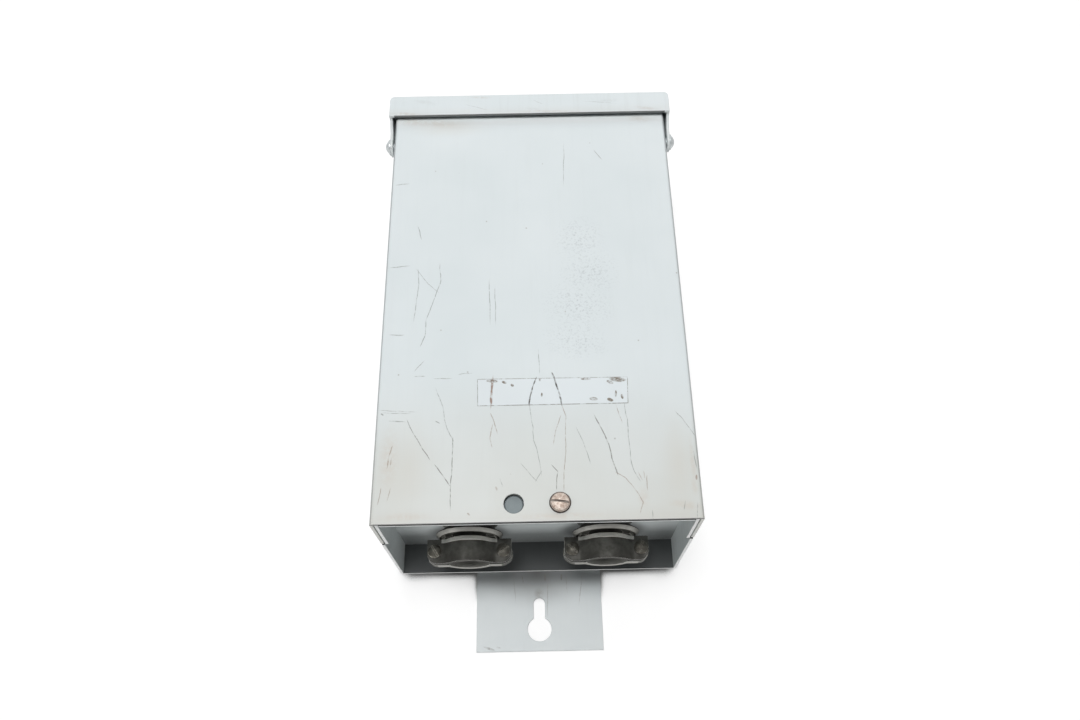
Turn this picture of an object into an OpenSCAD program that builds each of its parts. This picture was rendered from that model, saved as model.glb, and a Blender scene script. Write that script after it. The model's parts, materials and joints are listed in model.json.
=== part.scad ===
// Magnetic motor starter in a sheet steel enclosure with a rain hood, lying on its back.
// X is to the right, Y runs up the box and Z comes out of the cover. The wall is at z = 0.
// Heights along Y are measured from the cover's lower edge, and lift() centres them.

/* [Enclosure] */
// Width of the box
box_w = 152.4; // [150:0.2:158]
// Height from the cover's lower edge to the top of the box
box_h = 246.5; // [244:0.5:256]
// Height of the cover's face above the wall
face_z = 103; // [101:0.5:106]
// Thickness of the sheet steel
sheet = 1.5; // [1.3:0.1:1.6]
// Depth of the cover's side flanges
flange_depth = 34; // [32:0.5:36]
// Outer radius of the folded edges
fold_r = 2; // [1.8:0.1:2.6]
// Height of the bottom plate's lower face
floor_y = 16.2; // [15.4:0.1:17]

/* [Mounting strap] */
// Width of the strap behind the box
strap_w = 68; // [60:1:76]
// Thickness of the strap
strap_t = 2; // [1.6:0.1:2.4]
// Reach of the strap past each end of the box
strap_reach = 42.4; // [40:0.2:46]
// Diameter of the keyhole's round
key_d = 12.9; // [12:0.1:14]
// Width of the keyhole's slot
key_slot = 6.2; // [5.5:0.1:6.6]
// Distance from the box's lower edge down to the keyhole's round
key_drop = 31; // [29:0.5:32]
// Distance from the keyhole's round up to the end of its slot
key_run = 13.5; // [12:0.5:14.5]

/* [Hood and hinge] */
// Width of the hood
hood_w = 158.4; // [158:0.2:160]
// Height of the hood's front lip
lip_h = 14; // [12:0.5:14.5]
// Gap between the cover's face and the lip
lip_gap = 2.6; // [1.6:0.1:3]
// Height of the hinge rivets
pivot_y = 219; // [217:0.5:221]
// Depth of the hinge rivets' axis behind the cover's face
pivot_depth = 5; // [4.5:0.5:6]
// Diameter of the rivets' shanks
pin_d = 4.8; // [4:0.2:5.2]
// Diameter of the rivets' heads
rivet_d = 8.8; // [8:0.2:9.6]
// Width of the hood's ears
ear_w = 11; // [10.6:0.2:12]

/* [Cover screw and reset] */
// Distance of the cover screw from the middle
screw_x = 10.7; // [10:0.1:14]
// Height of the cover screw and the reset button
screw_y = 8.5; // [8:0.1:9]
// Diameter of the cover screw's head
screw_head = 9; // [8.6:0.2:9.4]
// Distance of the reset button from the middle
reset_x = 10.5; // [10:0.1:11.5]
// Diameter of the reset button
reset_d = 8.8; // [8.2:0.1:8.8]
// Diameter of the cover's hole for the reset button
reset_hole = 9.4; // [9.4:0.1:10.2]
// Travel of the reset button
reset_travel = 4; // [3:0.5:4]

/* [Cable connectors] */
// Distance of each connector from the middle
gland_x = 34.4; // [33:0.2:36]
// Height of the connectors' axes above the wall
gland_z = 53.4; // [52:0.2:55]
// Diameter of the cable throat
throat_d = 17.6; // [16:0.2:17.6]
// Width of the clamp across its ears
clamp_w = 42; // [42:0.5:46]
// Distance between the two clamp screws
clamp_pitch = 34.3; // [33.5:0.1:35]
// Diameter of the connector's ring flange
ring_d = 33.6; // [33:0.2:35.6]

/* [Starter] */
// Distance between the poles
pole_pitch = 26; // [25:0.5:27]
// Height of the contactor's middle
contactor_y = 136; // [134:0.5:138]
// Travel of the armature and the contacts
pull_in = 4; // [3:0.5:4]

/* [Hidden] */
$fn = 48;

enamel = "#b4c1c5";
zinc = "#77787a";
steel = "#b9babb";
brass = "#b98f52";
phenolic = "#2b2a2b";
grey_plastic = "#7f8a8d";

// Clearance between bodies, clearance of the cover's flanges over the box's walls,
// radial clearance of a shaft in its hole, and clearance under a turning head
gap = 0.3;
seam = 0.6;
fit = 0.05;
seat_gap = 0.1;
past = 1;

// Box: half widths behind and in front of the step, and the depths of its faces
half_w = box_w / 2;
front_half_w = half_w - sheet - seam;
back_z = strap_t;
inner_z = back_z + sheet;
flange_z = face_z - flange_depth;
step_z = flange_z - 0.5;
step_run = 2;
notch_deep = 1.8;
apron_front = face_z - 2 * sheet;
side_z = face_z - sheet - 0.6;

// Hood, ears and hinge
pivot_z = face_z - pivot_depth;
lip_y = box_h + sheet - lip_h;
lip_front = face_z + lip_gap + sheet;
hood_half = hood_w / 2;
hood_r = 2.5;
ear_in = half_w + 0.7;
ear_out = ear_in + sheet;
ear_bend_y = pivot_y + 5;
rivet_h = 3.1;
rivet_rim = 1.1;
tail_d = 6.2;
cover_top = pivot_y + 24;
swing_r = 25.5;
flange_top_r = 28;

// Cover screw: washer, head and shank
washer_t = 0.5;
washer_d = screw_head + 1;
screw_head_h = 2.2;
shank_d = 4.8;
shank_tip = face_z - 15;
slot_w = 1;
slot_deep = 1.1;

// Reset button: faces along Z
reset_front = face_z - 2;
reset_back = reset_front - 10;
reset_shaft_d = 4;
bracket_z = reset_back - 10;
arm_z = bracket_z - 7;
arm_t = 3;
arm_w = 6;
arm_top = 50;
pin_y = 46;
pin_front = arm_z - 0.4;
reset_pin_d = 5;

// Connectors: the clamp's faces along Y and Z
clamp_low = -7;
clamp_high = 5.6;
saddle_high = 5;
ring_t = 2;
ring_edge = 1.6;
ring_dish = 1.6;
ring_bead = 4.4;
hub_d = 28.6;
neck_d = 22;
neck_y = 11.6;
collar_y = 13;
nipple_d = 26.4;
nipple_end = 30;
seat_z = gland_z - 2.4;
ear_t = 4;
saddle_back = seat_z + 1.4;
saddle_t = 2.6;
trough_r = 11.4;
trough_z = gland_z + 2.5;
arch_half = 13;
arch_rise = 6.3;
rib_w = 1.8;
rib_rise = 1.2;
clamp_wall = 2.2;
clamp_corner = 5;
clamp_screw_y = -1;
clamp_screw_d = 4;
clamp_head_d = 6.8;
clamp_head_h = 2.4;
clamp_tip = seat_z - 11;
boss_d = 9;
boss_deep = 3.5;
locknut_t = 3.6;

// Starter plate and the depths of what stands on it
plate_z = inner_z + 3;
deck_z = plate_z + 2;
post_x = 54;
post_y = [32, 198];
foot_x = 47;
foot_t = 4;
block_half = 42;
contact_z = 60;
strap_thick = 1.6;
strap_half = 6;
poles = [-pole_pitch, 0, pole_pitch];
tip_y = 19;
tip_d = 7;
tip_t = 1.2;
bridge_z = contact_z + strap_thick + 2 * tip_t + pull_in + gap;
bridge_t = 1.6;
core_top = 42;
armature_z = core_top + pull_in + gap;
carrier_z = armature_z + 8;
line_y = contactor_y + 33;
load_y = contactor_y - 33;
overload_low = 38;
overload_high = 88;
heater_high = 81;
heater_low = 53;
wire_y = 44;
lug_at = [51, 92];
return_x = 38;
well_z = 36;
tap_d = 4.2;
arc_front = 92;
arc_wall = 3;
stack_half = 11;
base_feet = [[-foot_x, contactor_y - 24], [foot_x, contactor_y - 24], [-foot_x, contactor_y + 24],
    [foot_x, contactor_y + 24], [-foot_x, 63], [foot_x, 63]];

// Puts heights measured from the cover's lower edge into the part's frame
module lift() { translate([0, -box_h / 2, 0]) children(); }

// Block between two corners
module slab(low, high) { translate(low) cube(high - low); }

// Rods along X, Y and Z from a starting point
module rod_x(p, d, h) { translate(p) rotate([0, 90, 0]) cylinder(d = d, h = h); }
module rod_y(p, d, h) { translate(p) rotate([-90, 0, 0]) cylinder(d = d, h = h); }
module rod_z(p, d, h) { translate(p) cylinder(d = d, h = h); }

// An outline in X and Z drawn along Y, and an outline in Y and Z drawn along X
module along_y(y, h) { translate([0, y + h, 0]) rotate([90, 0, 0]) linear_extrude(h) children(); }
module along_x(x, w) { translate([x, 0, 0]) rotate([90, 0, 90]) linear_extrude(w) children(); }

// The right side's shape and its mirror image
module both_sides() {
    children();
    mirror([1, 0, 0]) children();
}

// Points on an arc about c, and a list turned round or mirrored
function arc(c, r, from, to, n = 6) =
    [for (i = [0 : n]) c + r * [cos(from + (to - from) * i / n), sin(from + (to - from) * i / n)]];
function turned(p) = [for (i = [len(p) - 1 : -1 : 0]) p[i]];
function flipped(p) = [for (q = p) [-q.x, q.y]];
function closed(p) = concat(p, flipped(turned(p)));

// Low domed head on a cylinder's end
module dome(d, h) {
    ball_r = (d * d / 4 + h * h) / (2 * h);
    intersection() {
        translate([0, 0, h - ball_r]) sphere(ball_r, $fn = 96);
        cylinder(d = d, h = h);
    }
}

// Slotted screw with its head's lower face at p and its tip at z = tip
module slotted_screw(p, d, head_d, head_h, tip, turn = 0) {
    difference() {
        union() {
            rod_z([p.x, p.y, tip], d, p.z - tip + head_h / 2);
            rod_z(p, head_d, head_h * 0.45);
            translate([p.x, p.y, p.z + head_h * 0.45]) dome(head_d, head_h * 0.55);
        }
        translate([p.x, p.y, p.z + head_h - slot_deep]) rotate(turn)
            slab([-head_d, -slot_w / 2, 0], [head_d, slot_w / 2, head_h]);
    }
}

// Wire wound as an open helix, as one tube of six sides with eight rings a turn
module wound_spring(mean_d, wire_d, length, turns) {
    rings = 8 * turns;
    rise = length - wire_d;
    points = [for (i = [0 : rings]) for (j = [0 : 5])
        let (a = 360 * turns * i / rings, b = 60 * j, r = mean_d / 2 + wire_d / 2 * cos(b))
        [r * cos(a), r * sin(a), wire_d / 2 + rise * i / rings + wire_d / 2 * sin(b)]];
    faces = concat(
        [for (j = [1 : 4]) [0, j + 1, j]],
        [for (i = [0 : rings - 1]) for (j = [0 : 5]) let (a = 6 * i + j, b = 6 * i + (j + 1) % 6)
            each [[a, b, b + 6], [a, b + 6, a + 6]]],
        [for (j = [1 : 4]) [6 * rings, 6 * rings + j, 6 * rings + j + 1]]);
    echo(str("spring gap ", rise / turns - wire_d));
    polyhedron(points, faces, convexity = 6);
}

// Strap behind the box, with a keyhole in each end
module keyhole(y) {
    rod_z([0, y, -past], key_d, strap_t + 2 * past);
    translate([0, 0, -past]) linear_extrude(strap_t + 2 * past)
        polygon(concat([[-key_slot / 2, y], [key_slot / 2, y]],
            arc([0, y + key_run], key_slot / 2, 0, 180, 12)));
}
module mounting_strap() color(enamel) lift() difference() {
    slab([-strap_w / 2, -strap_reach, 0], [strap_w / 2, box_h + strap_reach, strap_t]);
    keyhole(-key_drop);
    keyhole(box_h + key_drop - key_run);
}

// Back plate and side walls, folded from one sheet, stepped in where the cover's flanges lie,
// with a small notch in the lower end of each step
side_wall = concat(
    arc([half_w - fold_r, back_z + fold_r], fold_r, -90, 0),
    [[half_w, step_z - step_run], [front_half_w, step_z], [front_half_w, side_z],
        [front_half_w - sheet, side_z], [front_half_w - sheet, step_z - 0.6],
        [half_w - sheet, step_z - step_run - 0.6]],
    arc([half_w - fold_r, back_z + fold_r], fold_r - sheet, 0, -90));
module back_box() color(enamel) lift() difference() {
    along_y(0, box_h) polygon(closed(side_wall));
    rod_x([-half_w, pivot_y, pivot_z], 2 * swing_r, box_w);
    slab([-half_w, pivot_y, pivot_z - swing_r], [half_w, box_h + past, face_z]);
    for (x = [-post_x, post_x], y = post_y) rod_z([x, y, 0], shank_d, inner_z + past);
    both_sides() slab([front_half_w - sheet - past, -past, step_z - step_run - 0.4],
        [half_w + past, notch_deep, step_z - 0.4]);
}

// Outline that fills the box from its back plate to a front depth
function filling(front) = closed([
    [half_w - sheet - 0.5, inner_z], [half_w - sheet, inner_z + 0.5],
    [half_w - sheet, step_z - step_run - 0.6], [front_half_w - sheet, step_z - 0.6],
    [front_half_w - sheet, front]]);
module top_plate() color(enamel) lift()
    along_y(box_h - sheet, sheet) polygon(filling(side_z));

// Bottom plate, with an apron turned down behind the cover
module bottom_plate() color(enamel) lift() difference() {
    union() {
        along_y(floor_y, sheet) polygon(filling(apron_front));
        slab([sheet - front_half_w, 0, apron_front - sheet],
            [front_half_w - sheet, floor_y + sheet, apron_front]);
    }
    for (x = [-gland_x, gland_x]) rod_y([x, floor_y - past, gland_z], nipple_d + 0.7, sheet + 2 * past);
    slab([-reset_x - 4.2, floor_y - past, arm_z - reset_travel - 1.5],
        [4.2 - reset_x, floor_y + sheet + past, arm_z + arm_t + 1.5]);
    rod_z([screw_x, screw_y, apron_front - 3], shank_d + 2, 5);
    rod_z([-reset_x, screw_y, apron_front - 3], reset_d + 2 * gap, 5);
}

// Rain hood: top, side flanges, front lip and the two ears that hold the hinge rivets
module hood_outline(inset, low) {
    polygon(closed(concat([[hood_half - inset, low]],
        arc([hood_half - hood_r, box_h + sheet - hood_r], hood_r - inset, 0, 90))));
}
module ear() {
    intersection() {
        translate([0, 0, pivot_z - ear_w / 2]) linear_extrude(ear_w)
            polygon([[hood_half, lip_y + 3], [hood_half - sheet, lip_y + 3],
                [hood_half - sheet, lip_y], [ear_in, ear_bend_y], [ear_in, pivot_y - ear_w],
                [ear_out, pivot_y - ear_w], [ear_out, ear_bend_y], [hood_half, lip_y]]);
        along_x(half_w - past, hood_half - half_w + 2 * past)
            polygon(concat(arc([pivot_y, pivot_z], ear_w / 2, 90, 270, 12),
                [[lip_y + 3, pivot_z - ear_w / 2], [lip_y + 3, pivot_z + ear_w / 2]]));
    }
}
module hood() color(enamel) lift() difference() {
    union() {
        difference() {
            translate([0, 0, back_z]) linear_extrude(lip_front - back_z) hood_outline(0, lip_y);
            translate([0, 0, back_z - past]) linear_extrude(lip_front - sheet - back_z + past)
                hood_outline(sheet, lip_y - past);
        }
        both_sides() ear();
    }
    both_sides() rod_x([half_w, pivot_y, pivot_z], pin_d + 2 * fit, hood_half - half_w + past);
}

module hinge_rivets() color(steel) lift() both_sides() {
    tail_x = front_half_w - sheet;
    rod_x([tail_x, pivot_y, pivot_z], pin_d, ear_out - tail_x);
    rod_x([tail_x, pivot_y, pivot_z], tail_d, sheet);
    rod_x([ear_out, pivot_y, pivot_z], rivet_d, rivet_rim);
    translate([ear_out + rivet_rim, pivot_y, pivot_z]) rotate([0, 90, 0])
        dome(rivet_d - 1.2, rivet_h - rivet_rim);
}

// Cover: face and two side flanges, rounded at the top so that they swing clear of the box's step
cover_fold = [half_w - fold_r, face_z - fold_r];
cover_outer = concat([[half_w, flange_z]], arc(cover_fold, fold_r, 0, 90));
cover_inner = concat([[half_w - sheet, flange_z]], arc(cover_fold, fold_r - sheet, 0, 90));
module cover() color(enamel) lift() difference() {
    along_y(0, cover_top)
        polygon(concat(closed(cover_outer), flipped(cover_inner), turned(cover_inner)));
    difference() {
        slab([-half_w - past, pivot_y, flange_z - past], [half_w + past, cover_top + past, face_z]);
        rod_x([-half_w - 2 * past, pivot_y, pivot_z], 2 * flange_top_r, box_w + 4 * past);
    }
    both_sides() rod_x([half_w - sheet - past, pivot_y, pivot_z], pin_d + 2 * fit, sheet + 2 * past);
    rod_z([screw_x, screw_y, face_z - 3], shank_d + 0.8, 5);
    rod_z([-reset_x, screw_y, face_z - 3], reset_hole, 5);
}

module screw_washer() color(phenolic) lift() difference() {
    rod_z([screw_x, screw_y, face_z + seat_gap], washer_d, washer_t);
    rod_z([screw_x, screw_y, face_z - past], shank_d + 2 * fit, washer_t + 2 * past);
}
module cover_screw() color(brass) lift()
    slotted_screw([screw_x, screw_y, face_z + washer_t + 2 * seat_gap], shank_d, screw_head,
        screw_head_h, shank_tip, -8);
module cover_nut() color(steel) lift() difference() {
    translate([screw_x, screw_y, apron_front - sheet - 4]) slab([-5, -5, 0], [5, 5, 4]);
    rod_z([screw_x, screw_y, shank_tip], shank_d + 1.2, 15);
}

// Reset button: plunger, shaft and the arm that reaches up to the overload relay
module reset_button() color(grey_plastic) lift() {
    rod_z([-reset_x, screw_y, reset_back], reset_d, reset_front - reset_back - 0.5);
    translate([-reset_x, screw_y, reset_front - 0.5])
        cylinder(d1 = reset_d, d2 = reset_d - 1, h = 0.5);
    rod_z([-reset_x, screw_y, arm_z + 1], reset_shaft_d, reset_back - arm_z);
    slab([-reset_x - arm_w / 2, screw_y - 1.7, arm_z], [arm_w / 2 - reset_x, arm_top, arm_z + arm_t]);
}
module reset_guide() color(steel) lift() difference() {
    guide_front = apron_front - sheet;
    union() {
        rod_z([-reset_x, screw_y, guide_front - 6], reset_d + 4, 6);
        rod_z([-reset_x, screw_y, guide_front - 1.2], reset_d + 5.6, 1.2);
    }
    rod_z([-reset_x, screw_y, guide_front - 7], reset_d + 2 * fit, 8);
}
module reset_bracket() color(steel) lift() difference() {
    union() {
        slab([-reset_x - 7, screw_y - 3.4, bracket_z], [7 - reset_x, floor_y, bracket_z + sheet]);
        slab([-reset_x - 7, floor_y - sheet, bracket_z], [7 - reset_x, floor_y, bracket_z + 8]);
    }
    rod_z([-reset_x, screw_y, bracket_z - past], reset_shaft_d + 2 * gap, sheet + 2 * past);
}
module reset_spring() color(steel) lift()
    translate([-reset_x, screw_y, bracket_z + sheet])
        wound_spring(6.4, 0.8, reset_back - bracket_z - sheet - seat_gap, 4);

// Cable connector: ring flange, neck, collar against the bottom plate, nipple through it,
// and the clamp's fixed half
module clamp_outline(high) {
    polygon(closed(concat([[clamp_w / 2, high]],
        arc([clamp_w / 2 - clamp_corner, clamp_low + clamp_corner], clamp_corner, 0, -90))));
}
dish_y = clamp_high + ring_dish;
module ring_flange() difference() {
    translate([0, clamp_high, gland_z]) rotate([-90, 0, 0]) {
        cylinder(d1 = ring_d - 2 * ring_edge, d2 = ring_d, h = ring_edge);
        translate([0, 0, ring_edge]) cylinder(d = ring_d, h = ring_t - ring_edge);
    }
    intersection() {
        bead_d = ring_d - 2 * ring_bead;
        union() {
            rod_y([0, clamp_high - past, gland_z], bead_d, ring_dish + past);
            translate([0, clamp_high, gland_z]) rotate([-90, 0, 0])
                cylinder(d1 = bead_d + 2 * ring_edge, d2 = bead_d, h = ring_edge);
        }
        slab([-ring_d, 0, seat_z], [ring_d, floor_y, face_z]);
    }
}
module connector(x) translate([x, 0, 0]) difference() {
    union() {
        ring_flange();
        translate([0, clamp_high + ring_t, gland_z]) rotate([-90, 0, 0])
            cylinder(d1 = ring_d - 1, d2 = neck_d, h = neck_y - clamp_high - ring_t);
        rod_y([0, dish_y, gland_z], neck_d, floor_y - dish_y);
        rod_y([0, collar_y, gland_z], hub_d, floor_y - collar_y);
        rod_y([0, collar_y, gland_z], nipple_d, nipple_end - collar_y);
        translate([0, 0, seat_z - ear_t]) linear_extrude(ear_t) clamp_outline(clamp_high);
        intersection() {
            rod_y([0, clamp_low, trough_z], 2 * (trough_r + clamp_wall), clamp_high - clamp_low);
            slab([-clamp_w, clamp_low, 0], [clamp_w, clamp_high, seat_z]);
        }
        for (s = [-1, 1]) rod_z([s * clamp_pitch / 2, clamp_screw_y, seat_z - ear_t - boss_deep],
            boss_d, boss_deep + past);
    }
    rod_y([0, clamp_low - past, trough_z], 2 * trough_r, clamp_high - clamp_low + past);
    rod_y([0, clamp_low, gland_z], throat_d, nipple_end - clamp_low + past);
    for (s = [-1, 1])
        rod_z([s * clamp_pitch / 2, clamp_screw_y, 0], clamp_screw_d + 2 * fit, seat_z + past);
}
module left_connector() color(zinc) lift() connector(-gland_x);
module right_connector() color(zinc) lift() connector(gland_x);

// Saddle strap: two flat ears that run smoothly into an arch over the cable, with a rib along its upper end
function arch(half, rise, base, n = 28) = [for (i = [-n : 2 : n])
    [half * i / n, base + rise * (1 + cos(180 * pow(abs(i) / n, 1.5))) / 2]];
module saddle(x) translate([x, 0, 0]) difference() {
    intersection() {
        union() {
            along_y(clamp_low, saddle_high - clamp_low)
                polygon(concat(
                    [[clamp_w / 2, saddle_back], [clamp_w / 2, saddle_back + saddle_t]],
                    turned(arch(arch_half + 1, arch_rise - 0.2, saddle_back + saddle_t)),
                    [[-clamp_w / 2, saddle_back + saddle_t], [-clamp_w / 2, saddle_back]],
                    arch(arch_half, arch_rise, saddle_back)));
            along_y(saddle_high - rib_w, rib_w)
                polygon(concat(
                    turned(arch(arch_half + 1, arch_rise + rib_rise, saddle_back + saddle_t)),
                    arch(arch_half, arch_rise, saddle_back)));
        }
        translate([0, 0, saddle_back - past]) linear_extrude(3 * arch_half) clamp_outline(saddle_high);
    }
    for (s = [-1, 1])
        rod_z([s * clamp_pitch / 2, clamp_screw_y, saddle_back - past],
            clamp_screw_d + 2 * gap, saddle_t + 2 * past);
}
module left_saddle() color(zinc) lift() saddle(-gland_x);
module right_saddle() color(zinc) lift() saddle(gland_x);

module clamp_screw(x, turn) {
    slotted_screw([x, clamp_screw_y, saddle_back + saddle_t + seat_gap], clamp_screw_d,
        clamp_head_d, clamp_head_h, clamp_tip, turn);
}
module left_clamp_screw_a() color(zinc) lift() clamp_screw(-gland_x - clamp_pitch / 2, -58);
module left_clamp_screw_b() color(zinc) lift() clamp_screw(-gland_x + clamp_pitch / 2, 35);
module right_clamp_screw_a() color(zinc) lift() clamp_screw(gland_x - clamp_pitch / 2, -40);
module right_clamp_screw_b() color(zinc) lift() clamp_screw(gland_x + clamp_pitch / 2, 72);

// Ring nut with eight lugs for driving it
module locknut(x, y) {
    translate([x, y, gland_z]) rotate([-90, 0, 0]) difference() {
        union() {
            cylinder(d = nipple_d + 7, h = locknut_t);
            for (a = [22.5 : 45 : 337.5]) rotate(a)
                slab([nipple_d / 2 + 1, -2.5, 0], [nipple_d / 2 + 5.3, 2.5, locknut_t]);
        }
        translate([0, 0, -past]) cylinder(d = nipple_d + 2 * fit, h = locknut_t + 2 * past);
    }
}
module locknuts() color(zinc) lift()
    for (x = [-gland_x, gland_x]) locknut(x, floor_y + sheet);

// Starter plate on four spacers
module starter_plate() color(steel) lift() difference() {
    slab([-60, 24, plate_z], [60, 206, deck_z]);
    for (x = [-post_x, post_x], y = post_y) rod_z([x, y, plate_z - past], shank_d, 4);
    for (p = base_feet) rod_z([p.x, p.y, plate_z - past], shank_d, 4);
    rod_z([lug_at.x, lug_at.y, plate_z - past], shank_d, 4);
}
module plate_spacers() color(steel) lift() difference() {
    for (x = [-post_x, post_x], y = post_y) rod_z([x, y, inner_z], 10, plate_z - inner_z);
    for (x = [-post_x, post_x], y = post_y) rod_z([x, y, inner_z - past], shank_d, 6);
}
module plate_screws() color(steel) lift() for (x = [-post_x, post_x], y = post_y)
    slotted_screw([x, y, deck_z], 4.4, 8, 2.6, back_z + gap, x + y);

// Contactor base with its magnet well, terminal decks and feet
module contactor_base() color(phenolic) lift() difference() {
    union() {
        slab([-block_half, contactor_y - 40, deck_z], [block_half, contactor_y + 40, 50]);
        for (y = [contactor_y - 40, contactor_y + 24])
            slab([-block_half, y, 49], [block_half, y + 16, contact_z]);
        slab([-foot_x - 5, contactor_y - 32, deck_z], [foot_x + 5, contactor_y + 32, deck_z + foot_t]);
    }
    slab([-34, contactor_y - 24, deck_z + 5], [34, contactor_y + 24, 51]);
    for (x = [-return_x, return_x]) rod_z([x, contactor_y, well_z], 7, 15);
    for (x = poles, y = [line_y, load_y]) rod_z([x, y, contact_z - 9], tap_d, 10);
    for (s = [-1, 1]) rod_z([s * pole_pitch / 2, contactor_y + s * 31, contact_z - 9], tap_d, 10);
    for (p = base_feet) rod_z([p.x, p.y, deck_z - past], shank_d, foot_t + 2 * past);
}

// Fixed magnet: a back yoke and three legs, with the coil on the middle one
module magnet_core() color(steel) lift() {
    slab([-30, contactor_y - stack_half, deck_z + 5], [30, contactor_y + stack_half, 24]);
    for (x = [[-30, -22], [-8, 8], [22, 30]])
        slab([x[0], contactor_y - stack_half, 23], [x[1], contactor_y + stack_half, core_top]);
}
module magnet_coil() color("#7a2f24") lift() difference() {
    union() {
        slab([-19, contactor_y - 21, 27], [19, contactor_y + 21, 38]);
        for (z = [24.5, 38]) slab([-21, contactor_y - 22.5, z], [21, contactor_y + 22.5, z + 2.5]);
    }
    slab([-8.5, contactor_y - stack_half - 0.5, 20], [8.5, contactor_y + stack_half + 0.5, 50]);
}

// Moving assembly: armature, carrier with three windows, bridging contacts and their springs
module armature() color(steel) lift()
    slab([-30, contactor_y - stack_half, armature_z], [30, contactor_y + stack_half, carrier_z]);
module contact_carrier() color("#5a2d20") lift() difference() {
    union() {
        slab([-41, contactor_y - 8, carrier_z], [41, contactor_y + 8, carrier_z + 6]);
        for (x = poles)
            slab([x - 6, contactor_y - 8, carrier_z + 5], [x + 6, contactor_y + 8, bridge_z + 14]);
    }
    for (x = poles) slab([x - 4, contactor_y - 9, bridge_z], [x + 4, contactor_y + 9, bridge_z + 11]);
}
module moving_contacts() color(brass) lift() for (x = poles) {
    slab([x - 3.5, contactor_y - 23, bridge_z], [x + 3.5, contactor_y + 23, bridge_z + bridge_t]);
    for (s = [-1, 1]) rod_z([x, contactor_y + s * tip_y, bridge_z - tip_t], tip_d, tip_t + 0.5);
}
module contact_springs() color(steel) lift() for (x = poles)
    translate([x, contactor_y, bridge_z + bridge_t]) wound_spring(5, 0.8, 11 - bridge_t, 5);
module return_springs() color(steel) lift() for (x = [-return_x, return_x])
    translate([x, contactor_y, well_z]) wound_spring(5, 0.8, carrier_z - well_z - seat_gap, 6);

// Fixed contacts: line terminals above, and straps below that run on to the overload relay
module contact_strap(x, inner, outer, holes) {
    low = min(inner, outer);
    high = max(inner, outer);
    difference() {
        union() {
            slab([x - strap_half, low, contact_z], [x + strap_half, high, contact_z + strap_thick]);
            rod_z([x, inner, contact_z + 0.5], tip_d, strap_thick + tip_t - 0.5);
            rod_z([x, inner, contact_z], 2 * strap_half, strap_thick);
        }
        for (y = holes) rod_z([x, y, contact_z - past], tap_d, 5);
    }
}
module line_terminals() color(brass) lift()
    for (x = poles) contact_strap(x, contactor_y + tip_y, contactor_y + 38, [line_y]);
module load_straps() color(brass) lift()
    for (x = poles) contact_strap(x, contactor_y - tip_y, heater_high - 4, [load_y, heater_high]);
module terminal_screws() color(steel) lift() for (x = poles, y = [line_y, load_y])
    slotted_screw([x, y, contact_z + strap_thick], 4, 8, 2.8, contact_z - 8, x + y);

// Arc cover over the contacts, notched for the straps, with two screw lugs
module arc_cover() color(phenolic) lift() difference() {
    union() {
        slab([-44, contactor_y - 27, contact_z], [44, contactor_y + 27, arc_front]);
        for (s = [-1, 1]) translate([s * pole_pitch / 2, contactor_y + s * 30.5, contact_z])
            slab([-4.5, -4.5, 0], [4.5, 4.5, 4]);
    }
    slab([-41.5, contactor_y - 24.5, contact_z - past],
        [41.5, contactor_y + 24.5, arc_front - arc_wall]);
    for (x = poles) slab([x - 7, contactor_y - 30, contact_z - past], [x + 7, contactor_y + 30, 64]);
    for (x = [-13, 0, 13]) slab([x - 1.5, contactor_y - 16, arc_front - 4],
        [x + 1.5, contactor_y + 16, arc_front + past]);
    for (s = [-1, 1]) rod_z([s * pole_pitch / 2, contactor_y + s * 31, contact_z - past], tap_d, 6);
}
module arc_cover_screws() color(steel) lift() for (s = [-1, 1])
    slotted_screw([s * pole_pitch / 2, contactor_y + s * 31, contact_z + 4], 4, 7.2, 2.6, contact_z - 8, 20);
module base_screws() color(steel) lift() for (p = base_feet)
    slotted_screw([p.x, p.y, deck_z + foot_t], 4.4, 8, 2.6, plate_z, p.x + p.y);

// Overload relay: base with two ribs, heaters between the straps, and the reset pin
module overload_base() color(phenolic) lift() difference() {
    union() {
        slab([-block_half, overload_low, deck_z], [block_half, overload_high, 46]);
        slab([-block_half, overload_high - 13, 45], [block_half, overload_high, contact_z]);
        slab([-block_half, overload_low, 45], [block_half, overload_low + 19, contact_z]);
        slab([-foot_x - 5, 50, deck_z], [foot_x + 5, 76, deck_z + foot_t]);
    }
    rod_z([-reset_x, pin_y, 40], reset_pin_d + 2 * fit, 21);
    for (x = poles, y = [heater_high, heater_low, wire_y]) rod_z([x, y, contact_z - 9], tap_d, 10);
    for (p = base_feet) rod_z([p.x, p.y, deck_z - past], shank_d, foot_t + 2 * past);
}
module heaters() color(steel) lift() for (x = poles) {
    low_z = contact_z + strap_thick;
    difference() {
        slab([x - 5, heater_low - 4, low_z], [x + 5, heater_high + 4, low_z + 1.4]);
        for (y = [heater_high, heater_low]) rod_z([x, y, low_z - past], tap_d, 4);
    }
    rod_y([x, 58.5, low_z + 5.4], 9, 17);
}
module overload_terminals() color(brass) lift() for (x = poles) difference() {
    slab([x - strap_half, overload_low + 1, contact_z],
        [x + strap_half, heater_low + 4, contact_z + strap_thick]);
    for (y = [heater_low, wire_y]) rod_z([x, y, contact_z - past], tap_d, 5);
}
module heater_screws() color(steel) lift() for (x = poles, y = [heater_high, heater_low])
    slotted_screw([x, y, contact_z + strap_thick + 1.4], 4, 7.2, 2.6, contact_z - 8, x - y);
module overload_screws() color(steel) lift() for (x = poles)
    slotted_screw([x, wire_y, contact_z + strap_thick], 4, 8, 2.8, contact_z - 8, 3 * x);
module reset_pin() color("#a8322a") lift()
    rod_z([-reset_x, pin_y, 50], reset_pin_d, pin_front - 50);

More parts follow.
